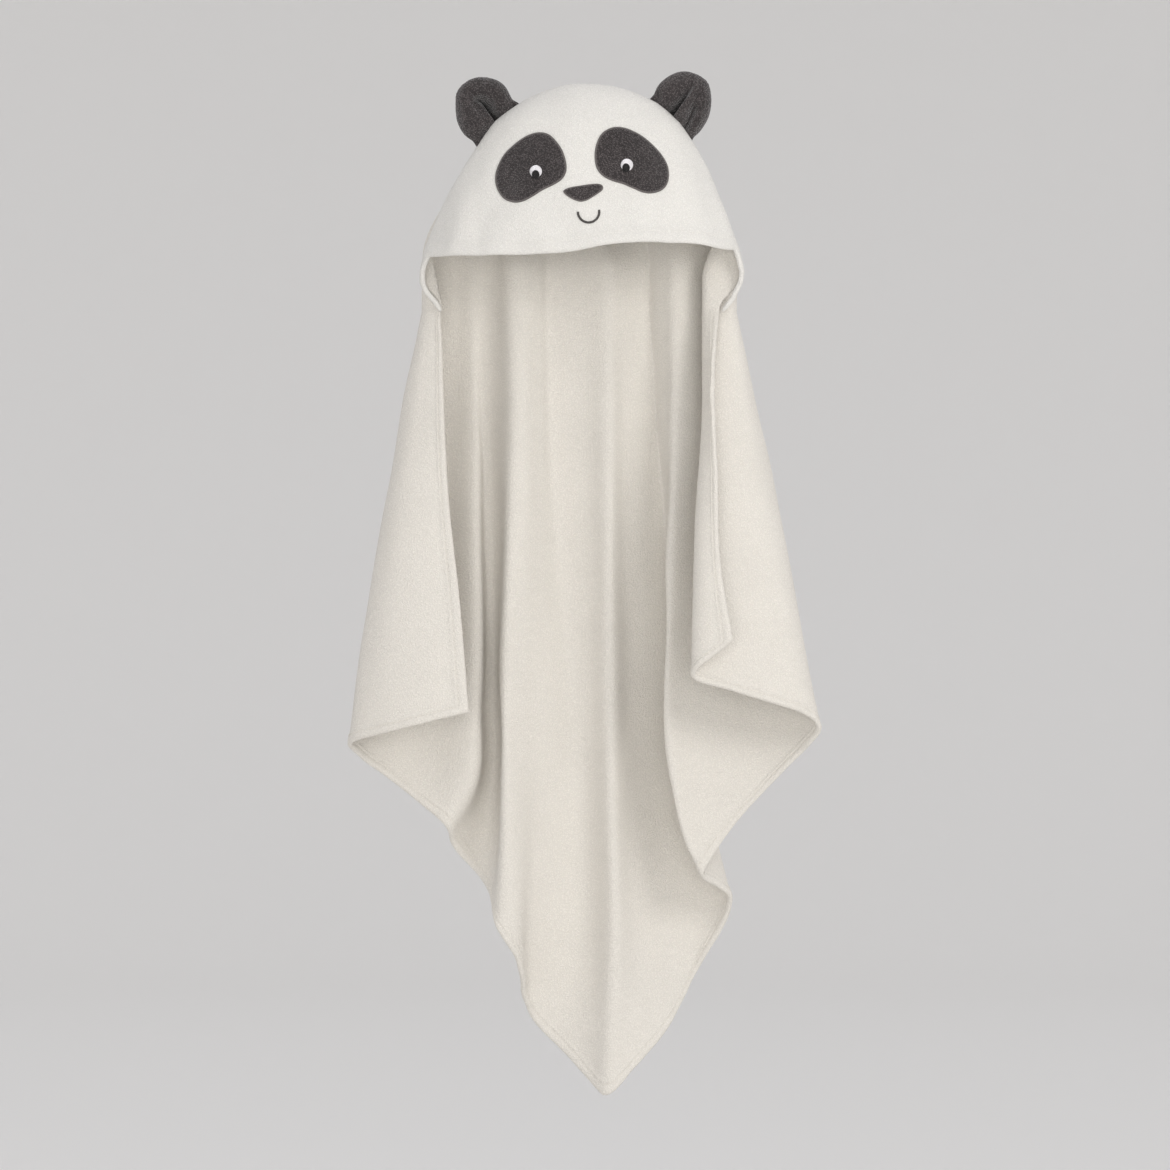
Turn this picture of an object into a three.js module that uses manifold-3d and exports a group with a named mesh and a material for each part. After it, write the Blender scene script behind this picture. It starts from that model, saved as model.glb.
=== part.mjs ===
// Hooded baby towel with an animal-face hood, hanging by its tape loop.
// Millimetres, +Z up, the face looks along -Y. The origin is where the peg bears on the loop.
import * as THREE from "three";
import { ParametricGeometry } from "three/addons/geometries/ParametricGeometry.js";
import { mergeVertices } from "three/addons/utils/BufferGeometryUtils.js";
import Module from "manifold-3d";

const wasm = await Module();
wasm.setup();

// The towel: a square of terry hung by one corner.
const towelEdge = 750;
const towelThickness = 4;
const seamOnTowelEdge = 347; // length of each towel edge that is sewn to the hood
const backRayInHood = 282; // from the square's corner down the back to the neck
const neckHalfWidth = 152;
const neckFoldDepth = 40;
const footHalfWidth = 233;
const footFoldDepth = 92;
const rightCornerLift = 72; // the right corner is turned up over its own fold

// The hood: half a dome in front of the towel, closed by the seam.
const hoodHalfWidth = 160.5;
const hoodDrop = 186; // from the crown down to the widest place
const neckDrop = 226; // from the crown down to the ends of the hood's opening edge
const openingDrop = 166; // from the crown down to the opening edge in front
const hoodFrontDepth = 85;
const hoodBackDepth = 62;
const hoodThickness = 3.4;
const domePower = 1.75; // 2 would be an ellipse
const firstRow = 0.015; // the crown is open by this share, so that no faces collapse there
const clearance = 0.4;

// Ears: stuffed pads on the seam, on either side of the crown.
const earRadius = 31;
const earReach = 52.5; // from the hood to the ear's far side
const earHalfThickness = 6.5;
const earClothThickness = 1.4;
const earDrop = 38; // from the crown down to the middle of an ear's base
const earLean = 5; // degrees outwards from square to the seam
const earFlat = 0.8; // thickness of the flat middle of an ear
const earHingeOffset = 10.8; // from the hood's outline to the line the ear bends about

// Face: appliqué cloth and stitching, turned a little anticlockwise.
const faceTilt = 4; // degrees
const faceCentre = new THREE.Vector2(-3.5, -86.5); // between the eyes, across and below the crown
const eyeSpacing = 90;
const patchAcross = 50;
const patchRise = 7.3;
const patchThickness = 1.3;
const borderWidth = 3;
const borderThickness = 1.7;
const eyeRadius = 6.1;
const eyeThickness = 0.9;
const pupilRadii = new THREE.Vector2(3.8, 4.3);
const pupilDrop = 3.4; // the pupils look down
const pupilThickness = 0.8;
const noseBelowEyes = 22;
const noseBorderWidth = 1.8;
const mouthCentre = new THREE.Vector2(4, -44);
const mouthRadius = 10.5;
const mouthWidth = 2.4;
const mouthThickness = 1.1;

// Tape loop and label, both caught in the seam behind the crown.
const tapeWidth = 10;
const tapeThickness = 1.4;
const loopInnerRadius = 8;
const loopLeg = 20;
const labelSize = new THREE.Vector3(22, 0.6, 34);
const labelBelowLoop = 4;
const standOff = 1; // from the back of the hood to the loop and the label

// Mesh fineness.
const towelColumns = 46;
const towelRows = 18;
const hoodColumns = 30;
const hoodRows = 12;
const outlineSteps = 28;
const discSteps = 16;

const crownHeight = 8; // the crown stands this far above the peg
const rad = THREE.MathUtils.degToRad;
const mix = THREE.MathUtils.lerp;
const clamp = THREE.MathUtils.clamp;
const smooth = THREE.MathUtils.smoothstep;

// Half the hood's outline width, this far below the crown.
function outlineHalfWidth(drop) {
  const belowWidest = (drop - hoodDrop) / (neckDrop - hoodDrop);
  if (belowWidest >= 0) return mix(hoodHalfWidth, neckHalfWidth, belowWidest);
  const rise = 1 - drop / hoodDrop;
  return hoodHalfWidth * (1 - rise ** domePower) ** (1 / domePower);
}

// Rows are closer together near the crown when this is above 1.
const crownRoundness = 1.1;

// How far the back of the hood stands behind the seam, this far below the crown.
function domeDepth(drop) {
  return hoodBackDepth * outlineHalfWidth(drop) / hoodHalfWidth;
}

// Fold lines of the hanging towel, from its left edge round the back to its right edge.
// Each has its place in the neck section and in the foot section, as shares of the half widths
// and of the fold depths; depth is positive backwards.
const folds = [
  { neck: [-0.91, 0.1], foot: [-0.49, -0.67] }, // left free edge
  { neck: [-0.96, 0.13], foot: [-0.72, -0.61] },
  { neck: [-1.0, 0.24], foot: [-0.955, -0.5] },
  { neck: [-1.01, 0.45], foot: [-1.0, -0.22] }, // left outer fold
  { neck: [-0.97, 0.68], foot: [-0.94, 0.08] },
  { neck: [-0.9, 0.85], foot: [-0.8, 0.36] },
  { neck: [-0.78, 1.0], foot: [-0.62, 0.6] },
  { neck: [-0.67, 1.0], foot: [-0.47, 0.62] }, // valley
  { neck: [-0.61, 0.85], foot: [-0.4, 0.58] },
  { neck: [-0.53, 0.6], foot: [-0.365, 0.3] },
  { neck: [-0.46, 0.4], foot: [-0.32, 0] }, // ridge
  { neck: [-0.36, 0.5], foot: [-0.24, 0.16] },
  { neck: [-0.14, 0.95], foot: [-0.01, 0.66] }, // shallow valley
  { neck: [0.13, 0.62], foot: [0.13, 0.26] }, // ridge
  { neck: [0.28, 0.8], foot: [0.24, 0.6] },
  { neck: [0.36, 0.98], foot: [0.295, 0.85] }, // deep valley
  { neck: [0.48, 0.75], foot: [0.335, 0.5] },
  { neck: [0.58, 0.42], foot: [0.37, -0.06] }, // ridge
  { neck: [0.7, 0.6], foot: [0.49, 0.2] },
  { neck: [0.82, 0.8], foot: [0.68, 0.4] },
  { neck: [0.93, 0.88], foot: [0.89, 0.1] },
  { neck: [0.99, 0.62], foot: [1.0, -0.3] }, // right outer fold
  { neck: [0.94, 0.42], foot: [0.8, -0.6] },
  { neck: [0.85, 0.36], foot: [0.5, -0.72] },
  { neck: [0.8, 0.24], foot: [0.445, -0.8] }, // right inner fold
  { neck: [0.84, 0.12], foot: [0.5, -0.93] },
  { neck: [0.89, 0.1], foot: [0.63, -0.97] }, // right free edge
];

const neckLine = new THREE.SplineCurve(
  folds.map((fold) => new THREE.Vector2(fold.neck[0] * neckHalfWidth, fold.neck[1] * neckFoldDepth)),
);
const footLine = new THREE.SplineCurve(
  folds.map((fold) => new THREE.Vector2(fold.foot[0] * footHalfWidth, fold.foot[1] * footFoldDepth)),
);
const footLengths = footLine.getLengths(folds.length * 20);

// Where along the fold lines (0 to 1) a share of the towel's width falls.
function foldParameter(share) {
  const wanted = share * footLengths.at(-1);
  const after = footLengths.findIndex((length) => length >= wanted);
  if (after < 1) return 0;
  const step = (wanted - footLengths[after - 1]) / (footLengths[after] - footLengths[after - 1]);
  return (after - 1 + step) / (footLengths.length - 1);
}

// A point of the towel's middle surface: share runs from the left free edge to the right one,
// down from 0 at the crown through 1 at the neck and 2 at the foot section to 3 at the hem.
function towelPoint(share, down) {
  const turn = (share - 0.5) * Math.PI;
  const parameter = foldParameter(share);
  const neck = neckLine.getPoint(parameter);
  const foot = footLine.getPoint(parameter);
  const neckHeight = crownHeight - neckDrop;
  if (down < 1) {
    const drop = neckDrop * (1 - Math.cos(mix(firstRow, 1, down) * Math.PI / 2) ** crownRoundness);
    const halfWidth = outlineHalfWidth(drop);
    const dome = new THREE.Vector2(halfWidth * Math.sin(turn), domeDepth(drop) * Math.cos(turn));
    const settle = smooth(drop / neckDrop, 0.72, 1);
    dome.lerp(neck, settle);
    return new THREE.Vector3(dome.x, dome.y + clearance / 2 * (1 - settle), crownHeight - drop);
  }
  const backShare = Math.sin(share * Math.PI) ** 0.7;
  const fromCorner = mix(seamOnTowelEdge, backRayInHood, backShare);
  const toFoot = towelEdge - fromCorner;
  const toHem = towelEdge / Math.cos(rad(45) - Math.abs(share - 0.5) * rad(90)) - fromCorner;
  const along = down < 2 ? (down - 1) * toFoot : mix(toFoot, toHem, down - 2);
  const slope = foot.clone().sub(neck).divideScalar(toFoot);
  const lift = rightCornerLift * smooth(share, 0.93, 1) * Math.min(down - 1, 1);
  const fall = along * Math.sqrt(Math.max(0.1, 1 - slope.lengthSq()));
  return new THREE.Vector3(neck.x + slope.x * along, neck.y + slope.y * along, neckHeight - fall + lift);
}

// A point of the hood's middle surface: turn from -1 (left seam) to 1, down from 0 to 1 (opening edge).
function hoodPoint(turn, down) {
  const toSide = smooth(Math.abs(turn), 0.78, 1);
  const drop = mix(openingDrop, neckDrop, toSide) * (1 - Math.cos(mix(firstRow, 1, down) * Math.PI / 2));
  const halfWidth = outlineHalfWidth(drop);
  const angle = turn * Math.PI / 2;
  const depth = hoodFrontDepth * halfWidth / hoodHalfWidth * Math.cos(angle);
  return new THREE.Vector3(halfWidth * Math.sin(angle), -depth - clearance / 2, crownHeight - drop);
}

// A sheet of cloth as a closed body: its middle surface is surface(u, v), with both in 0 to 1.
// offset(point, normal, side) moves a point of it to the front face (side 1) or the rear face (-1).
function sheet(surface, columns, rows, offset) {
  const step = 1e-3;
  const normalAt = (u, v) => {
    const across = surface(Math.min(u + step, 1), v).sub(surface(Math.max(u - step, 0), v));
    const down = surface(u, Math.min(v + step, 1)).sub(surface(u, Math.max(v - step, 0)));
    return across.cross(down).normalize();
  };
  // Going round, the section runs along the front face, over the edge and back along the rear face.
  const round = 2 * columns + 2;
  const place = (around, along, target) => {
    const column = Math.round(around * round) % round;
    const front = column <= columns;
    const u = (front ? column : round - 1 - column) / columns;
    const row = Math.round(along * (rows + 2));
    const v = clamp(row - 1, 0, rows) / rows;
    const collapsed = row === 0 || row === rows + 2;
    const side = collapsed ? 0 : front ? 1 : -1;
    target.copy(offset(surface(u, v), () => normalAt(u, v), side));
  };
  return new ParametricGeometry(place, round, rows + 2);
}

const halfThick = (thickness) => (point, normal, side) => {
  return point.addScaledVector(normal(), side * thickness / 2);
};

// three.js geometry to manifold-3d solid and back.
function solid(geometry) {
  const bare = geometry.clone();
  bare.deleteAttribute("normal");
  bare.deleteAttribute("uv");
  const merged = mergeVertices(bare, 1e-3);
  const mesh = new wasm.Mesh({
    numProp: 3,
    vertProperties: merged.attributes.position.array,
    triVerts: new Uint32Array(merged.index.array),
  });
  return new wasm.Manifold(mesh);
}

function geometryOf(made) {
  const mesh = made.getMesh();
  const geometry = new THREE.BufferGeometry();
  geometry.setAttribute("position", new THREE.BufferAttribute(mesh.vertProperties, 3));
  geometry.setIndex(new THREE.BufferAttribute(mesh.triVerts, 1));
  geometry.computeVertexNormals();
  return geometry;
}

const creamTerry = { color: 0xebe6db, roughness: 0.95, metalness: 0 };
const whiteTerry = { color: 0xf0ece4, roughness: 0.95, metalness: 0 };
const charcoalPlush = { color: 0x4a4545, roughness: 0.95, metalness: 0 };
const greyThread = { color: 0x605a58, roughness: 0.7, metalness: 0 };
const whiteThread = { color: 0xe9e6e8, roughness: 0.6, metalness: 0 };
const blackThread = { color: 0x1a1818, roughness: 0.6, metalness: 0 };
const wadding = { color: 0xf4f4f2, roughness: 1, metalness: 0 };

const towel = new THREE.Group();

// All the cloth hangs in front of the peg: its seam plane is this far forwards of the loop's middle.
const cloth = new THREE.Group();
const loopFootDrop = crownHeight + loopInnerRadius + loopLeg;
cloth.position.y = -(domeDepth(loopFootDrop) + towelThickness / 2 + standOff + tapeWidth / 2);
towel.add(cloth);

function addPiece(name, geometry, look, parent = cloth) {
  const mesh = new THREE.Mesh(geometry, new THREE.MeshStandardMaterial(look));
  mesh.name = name;
  parent.add(mesh);
  return mesh;
}

// Turns the faces round when the surface came out inside out.
function facingOut(geometry) {
  if (solid(geometry).volume() > 0) return geometry;
  const index = geometry.index.array.slice();
  for (let corner = 0; corner < index.length; corner += 3) {
    [index[corner + 1], index[corner + 2]] = [index[corner + 2], index[corner + 1]];
  }
  return geometry.clone().setIndex(new THREE.BufferAttribute(index, 1));
}

// The towel and the hood.
const towelSurface = (u, v) => towelPoint(u, 3 * v);
const hoodSurface = (u, v) => hoodPoint(2 * u - 1, v);
const towelSheet = sheet(towelSurface, towelColumns, towelRows, halfThick(towelThickness));
const hoodSheet = sheet(hoodSurface, hoodColumns, hoodRows, halfThick(hoodThickness));
addPiece("towel_panel", facingOut(towelSheet), creamTerry);
addPiece("hood_panel", facingOut(hoodSheet), whiteTerry);

// 1 when the hood's own normal points forwards, -1 when it points back.
function hoodFacing() {
  const across = hoodPoint(0.1, 0.5).sub(hoodPoint(-0.1, 0.5));
  const down = hoodPoint(0, 0.6).sub(hoodPoint(0, 0.4));
  return across.cross(down).y < 0 ? 1 : -1;
}
const frontSide = hoodFacing();

// Appliqué: a layer of the hood's outer face, moved forwards by `lift` and `thick`, cut to an outline.
function hoodLayer(lift, thick) {
  const offset = (point, normal, side) => {
    const face = point.addScaledVector(normal(), frontSide * hoodThickness / 2);
    face.y -= lift + thick * (side + 1) / 2;
    return face;
  };
  return solid(facingOut(sheet(hoodSurface, hoodColumns, hoodRows, offset)));
}

// A prism along Y over an outline drawn across and up from the point between the eyes.
function prism(outline) {
  const extruded = new THREE.ExtrudeGeometry(outline, { depth: 2 * hoodFrontDepth, bevelEnabled: false });
  extruded.rotateX(Math.PI / 2);
  extruded.rotateY(-rad(faceTilt));
  extruded.translate(faceCentre.x, 0, crownHeight + faceCentre.y);
  return solid(extruded);
}

function applique(name, outline, lift, thick, look) {
  addPiece(name, geometryOf(hoodLayer(lift, thick).intersect(prism(outline))), look);
}

// A closed outline through the points, kept `inset` inside them along the line to the centre.
function roundOutline(centre, points, inset = 0) {
  const corners = points.map(([x, y]) => {
    const arm = new THREE.Vector2(x, y);
    return arm.setLength(arm.length() - inset).add(centre);
  });
  const flat = corners.map((corner) => new THREE.Vector3(corner.x, corner.y, 0));
  const curve = new THREE.CatmullRomCurve3(flat, true);
  const outline = curve.getPoints(outlineSteps).map((point) => new THREE.Vector2(point.x, point.y));
  outline.pop();
  return new THREE.Shape(THREE.ShapeUtils.isClockWise(outline) ? outline.reverse() : outline);
}

function ellipse(centre, radii) {
  const curve = new THREE.EllipseCurve(centre.x, centre.y, radii.x, radii.y);
  return new THREE.Shape(curve.getPoints(discSteps).slice(0, -1));
}

// The eye patches, each drawn across and up from its own centre.
const leftPatch = [
  [-36, -12],
  [-26, 13],
  [-2, 30],
  [21, 29],
  [34, 7],
  [33, -13],
  [20, -22],
  [0, -32],
  [-19, -37],
  [-34, -24],
];
const rightPatch = [
  [-36, 4],
  [-28, 26],
  [-10, 32],
  [14, 20],
  [34, -5],
  [35, -26],
  [19, -37],
  [1, -31],
  [-20, -22],
  [-35, -8],
];
const sides = [
  { name: "left", side: -1, patch: leftPatch },
  { name: "right", side: 1, patch: rightPatch },
];
for (const { name, side, patch } of sides) {
  const centre = new THREE.Vector2(side * patchAcross, patchRise);
  const cloth = roundOutline(centre, patch, borderWidth + clearance);
  applique("eye_patch_" + name, cloth, clearance, patchThickness, charcoalPlush);
  const border = roundOutline(centre, patch);
  border.holes.push(roundOutline(centre, patch, borderWidth));
  applique("eye_patch_border_" + name, border, clearance, borderThickness, greyThread);
  const eye = new THREE.Vector2(side * eyeSpacing / 2, 0);
  const eyeDisc = ellipse(eye, new THREE.Vector2(eyeRadius, eyeRadius));
  const eyeLift = 2 * clearance + patchThickness;
  applique("eye_white_" + name, eyeDisc, eyeLift, eyeThickness, whiteThread);
  const pupilDisc = ellipse(eye.clone().add(new THREE.Vector2(0, -pupilDrop)), pupilRadii);
  applique("pupil_" + name, pupilDisc, eyeLift + eyeThickness + clearance, pupilThickness, blackThread);
}

const noseOutline = [
  [-19.5, 0],
  [-12, 4],
  [8, 5.5],
  [19.5, 3],
  [16, -4],
  [3, -10],
  [-10, -9],
];
const noseCentre = new THREE.Vector2(0, -noseBelowEyes);
const noseCloth = roundOutline(noseCentre, noseOutline, noseBorderWidth + clearance);
applique("nose", noseCloth, clearance, patchThickness, charcoalPlush);
const noseBorder = roundOutline(noseCentre, noseOutline);
noseBorder.holes.push(roundOutline(noseCentre, noseOutline, noseBorderWidth));
applique("nose_border", noseBorder, clearance, borderThickness, greyThread);

// The mouth is a U of stitching: half a ring.
const mouth = new THREE.Shape();
mouth.absarc(mouthCentre.x, mouthCentre.y, mouthRadius + mouthWidth / 2, Math.PI, 2 * Math.PI, false);
mouth.absarc(mouthCentre.x, mouthCentre.y, mouthRadius - mouthWidth / 2, 2 * Math.PI, Math.PI, true);
applique("mouth", mouth, clearance, mouthThickness, greyThread);

// An ear's outline: a disc cut straight at the base, in the ear's own frame with X outwards from its hinge.
function earPad(inset) {
  const bevel = earHalfThickness - inset - earFlat / 2;
  const radius = earRadius - inset - bevel;
  const centre = earReach - earHingeOffset - earRadius;
  const base = bevel + inset - earHalfThickness;
  const half = Math.acos((base - centre) / radius);
  const outline = new THREE.Shape().absarc(centre, 0, radius, -half, half, false);
  const pad = new THREE.ExtrudeGeometry(outline, {
    depth: earFlat,
    bevelThickness: bevel,
    bevelSize: bevel,
    bevelSegments: 3,
    curveSegments: 18,
  });
  pad.translate(0, 0, -earFlat / 2);
  return solid(pad);
}

// A slab covering one side of the ear's middle plane, for splitting its cloth into front and back.
function earHalf(side) {
  const slab = new THREE.BoxGeometry(4 * earRadius, 4 * earRadius, 2 * earRadius);
  slab.translate(0, 0, side * (earRadius + clearance / 2));
  return solid(slab);
}

// Where an ear's base sits: on the hood's outline, with the outline's outward direction there.
function earAnchor(side) {
  const step = 0.5;
  const halfWidth = outlineHalfWidth(earDrop);
  const growth = (outlineHalfWidth(earDrop + step) - outlineHalfWidth(earDrop - step)) / (2 * step);
  const outward = new THREE.Vector2(1, growth).normalize();
  outward.rotateAround(new THREE.Vector2(), -rad(earLean));
  const hinge = new THREE.Vector2(halfWidth, crownHeight - earDrop).addScaledVector(outward, earHingeOffset);
  const angle = Math.atan2(outward.y, side * outward.x);
  return { position: new THREE.Vector3(side * hinge.x, 0, hinge.y), angle };
}

for (const { name, side } of sides) {
  const anchor = earAnchor(side);
  const ear = new THREE.Group();
  ear.position.copy(anchor.position);
  ear.rotation.set(Math.PI / 2, -anchor.angle, 0, "YXZ");
  cloth.add(ear);
  const cover = earPad(0).subtract(earPad(earClothThickness));
  addPiece("ear_front_" + name, geometryOf(cover.intersect(earHalf(1))), charcoalPlush, ear);
  addPiece("ear_back_" + name, geometryOf(cover.intersect(earHalf(-1))), charcoalPlush, ear);
  addPiece("ear_wadding_" + name, geometryOf(earPad(earClothThickness + clearance)), wadding, ear);
}

// The loop: a band of tape standing up from the back of the crown, its arch round the peg.
function tapeLoop() {
  const centre = -loopInnerRadius;
  const outer = loopInnerRadius + tapeThickness;
  const band = new THREE.Shape();
  band.moveTo(outer, centre - loopLeg);
  band.absarc(0, centre, outer, 0, Math.PI, false);
  band.lineTo(-outer, centre - loopLeg);
  band.lineTo(-loopInnerRadius, centre - loopLeg);
  band.absarc(0, centre, loopInnerRadius, Math.PI, 0, true);
  band.lineTo(loopInnerRadius, centre - loopLeg);
  const tape = new THREE.ExtrudeGeometry(band, { depth: tapeWidth, bevelEnabled: false, curveSegments: 10 });
  tape.rotateX(Math.PI / 2);
  tape.translate(0, tapeWidth / 2, 0);
  return tape;
}
addPiece("hang_loop", geometryOf(solid(tapeLoop())), creamTerry, towel);

// The label hangs behind the back of the hood, from the seam between the loop's legs.
const labelTop = loopFootDrop + labelBelowLoop;
const labelBottom = labelTop + labelSize.z;
const label = addPiece("care_label", new THREE.BoxGeometry(...labelSize.toArray()), whiteThread);
label.position.z = crownHeight - (labelTop + labelBottom) / 2;
label.position.y = domeDepth((labelTop + labelBottom) / 2) + towelThickness / 2 + standOff;
label.rotation.x = Math.atan2(domeDepth(labelBottom) - domeDepth(labelTop), labelSize.z);

export default towel;
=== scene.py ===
# %% [markdown]
# # A hooded baby towel with a panda face, hung by its tape loop
# The real towel is a square of terry, 75 cm on each edge. One corner is closed by a second piece of terry,
# which makes the hood, and the panda's ears, patches, eyes, nose and mouth are sewn to that hood.
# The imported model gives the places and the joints. Everything soft is rebuilt here as cloth: thin sheets
# with hems, real stitches, stuffed ears and a face in layers.

# %% Load the frame
import math
import bmesh
import bpy
import numpy as np
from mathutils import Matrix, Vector, noise
from mathutils.bvhtree import BVHTree


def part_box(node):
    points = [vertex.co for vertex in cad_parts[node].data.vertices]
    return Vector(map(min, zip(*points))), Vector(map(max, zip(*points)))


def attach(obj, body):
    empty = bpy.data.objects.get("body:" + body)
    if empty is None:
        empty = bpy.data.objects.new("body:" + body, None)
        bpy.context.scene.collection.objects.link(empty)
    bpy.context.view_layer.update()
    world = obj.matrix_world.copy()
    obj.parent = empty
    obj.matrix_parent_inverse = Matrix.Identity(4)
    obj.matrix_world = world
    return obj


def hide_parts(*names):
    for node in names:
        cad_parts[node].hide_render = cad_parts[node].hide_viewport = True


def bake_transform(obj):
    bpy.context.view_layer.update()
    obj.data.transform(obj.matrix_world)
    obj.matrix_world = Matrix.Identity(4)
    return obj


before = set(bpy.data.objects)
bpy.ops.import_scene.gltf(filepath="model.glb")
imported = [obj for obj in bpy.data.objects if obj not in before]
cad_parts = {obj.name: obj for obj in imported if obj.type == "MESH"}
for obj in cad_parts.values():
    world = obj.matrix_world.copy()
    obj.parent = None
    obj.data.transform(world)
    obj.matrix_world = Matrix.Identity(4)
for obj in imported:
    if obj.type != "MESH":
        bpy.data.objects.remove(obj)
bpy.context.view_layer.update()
MM = 0.001
SEAM_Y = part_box("hood_panel")[1][1] + 0.2 * MM  # the plane of the seam between hood and towel
CROWN_Z = 8.0  # millimetres above the peg
NECK_DROP = 226.0  # from the crown down to the ends of the seam
HALF_WIDTH = 160.0  # the hood's, where it is widest
CROWN_ROW = 0.015  # the first row of cloth is this far from the crown, as a share of the rows
print("seam plane at y =", round(SEAM_Y, 4), "m; nodes:", len(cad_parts))


def place(points):
    """Millimetres across, behind the seam and above the peg, to metres in the frame."""
    moved = np.asarray(points, float) * MM
    moved[..., 1] += SEAM_Y
    return moved


def smooth(value, low, high):
    step = np.clip((np.asarray(value, float) - low) / (high - low), 0, 1)
    return step * step * (3 - 2 * step)


def mix(a, b, share):
    return a + (b - a) * share


# %% [markdown]
# ## Camera, floor and light
# A long lens from straight in front keeps the towel's outline the way it hangs. The studio is one pale sheet
# that runs from the floor up into a round wall, so nothing behind the cloth draws the eye from any side. One
# large soft light from the front keeps the inside of the hood bright, and a smaller one from the upper right
# shows the folds.

# %% Camera
FRAME_HEIGHT = 1.17
CAMERA_DISTANCE = 8.0
camera_data = bpy.data.cameras.new("camera")
camera_data.sensor_width = 36
camera_data.lens = 36 * CAMERA_DISTANCE / FRAME_HEIGHT
camera = bpy.data.objects.new("camera", camera_data)
camera.location = (0, SEAM_Y + 0.012 - CAMERA_DISTANCE, -0.491)
camera.rotation_euler = (math.radians(90), 0, 0)
bpy.context.scene.collection.objects.link(camera)
bpy.context.scene.camera = camera
print("camera", CAMERA_DISTANCE, "m away, frame", FRAME_HEIGHT, "m high")


# %% Floor and wall in one sheet
def plain(name, colour, roughness=0.9):
    material = bpy.data.materials.new(name)
    material.use_nodes = True
    shader = material.node_tree.nodes["Principled BSDF"]
    shader.inputs["Base Color"].default_value = (*colour, 1)
    shader.inputs["Roughness"].default_value = roughness
    return material


def new_object(name, vertices, faces, material):
    mesh = bpy.data.meshes.new(name)
    mesh.from_pydata([tuple(v) for v in vertices], [], faces)
    mesh.validate()
    mesh.polygons.foreach_set("use_smooth", [True] * len(mesh.polygons))
    thing = bpy.data.objects.new(name, mesh)
    bpy.context.scene.collection.objects.link(thing)
    if material:
        mesh.materials.append(material)
    return thing


FLOOR_Z = -1.35
FLOOR_RADIUS = 9.0
BEND_RADIUS = 2.5
WALL_TOP = 4.0
ROUND = 64
bend = [math.radians(a) for a in range(0, 91, 6)]
profile = [(0.01, FLOOR_Z)]
profile += [
    (FLOOR_RADIUS + BEND_RADIUS * math.sin(a), FLOOR_Z + BEND_RADIUS * (1 - math.cos(a)))
    for a in bend
]
profile += [(FLOOR_RADIUS + BEND_RADIUS, WALL_TOP)]
turns = [2 * math.pi * k / ROUND for k in range(ROUND)]
sweep = [(r * math.cos(a), r * math.sin(a), z) for r, z in profile for a in turns]
strips = [
    (i * ROUND + k, i * ROUND + (k + 1) % ROUND, (i + 1) * ROUND + (k + 1) % ROUND, (i + 1) * ROUND + k)
    for i in range(len(profile) - 1)
    for k in range(ROUND)
]
studio = new_object("studio_sheet", sweep, strips, plain("studio_paper", (0.84, 0.83, 0.815)))
print("studio sheet:", len(strips), "faces")


# %% Lights
def soft_light(name, place_at, size, power, colour):
    data = bpy.data.lights.new(name, "AREA")
    data.shape = "DISK"
    data.size = size
    data.energy = power
    data.color = colour
    lamp = bpy.data.objects.new(name, data)
    lamp.location = place_at
    aim = Vector((0, SEAM_Y, -0.45)) - Vector(place_at)
    lamp.rotation_euler = aim.to_track_quat("-Z", "Y").to_euler()
    lamp.visible_camera = False
    bpy.context.scene.collection.objects.link(lamp)


soft_light("key_light", (2.1, -2.2, 0.7), 1.3, 26, (1.0, 0.985, 0.96))
soft_light("front_light", (-0.3, -4.2, -0.9), 3.0, 74, (1.0, 0.99, 0.965))
world = bpy.data.worlds.new("studio_air")
world.use_nodes = True
world.node_tree.nodes["Background"].inputs["Color"].default_value = (0.95, 0.95, 0.97, 1)
world.node_tree.nodes["Background"].inputs["Strength"].default_value = 0.82
bpy.context.scene.world = world
bpy.context.scene.view_settings.view_transform = "Standard"
print("lights: key, front and the air round them")

# %% [markdown]
# ## Cloth finishes
# Terry is a field of tiny loops, so its colour is almost flat while its surface is rough at about a
# millimetre. A cell pattern gives the loops, a finer noise breaks them up, and sheen gives the soft edge that
# pile has against the light. The colour is darker in the dips between loops and lighter on their tops: partly
# painted shade, partly the pile's own mottled tone. The dark plush has shorter, denser fibre in two greys,
# laid out the same way. Thread is smooth and a little glossy.


# %% Helpers for finishes
def add_node(tree, kind, **settings):
    node = tree.nodes.new(kind)
    for key, value in settings.items():
        if key in node.inputs:
            node.inputs[key].default_value = value
        else:
            setattr(node, key, value)
    return node


def ramp(tree, source, stops):
    node = tree.nodes.new("ShaderNodeValToRGB")
    node.color_ramp.elements[0].position = stops[0][0]
    node.color_ramp.elements[0].color = (*stops[0][1], 1)
    node.color_ramp.elements[1].position = stops[-1][0]
    node.color_ramp.elements[1].color = (*stops[-1][1], 1)
    for position, colour in stops[1:-1]:
        node.color_ramp.elements.new(position).color = (*colour, 1)
    tree.links.new(source, node.inputs["Fac"])
    return node.outputs["Color"]


def shades(colour, *factors):
    return [tuple(min(1.0, channel * factor) for channel in colour) for factor in factors]


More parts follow.
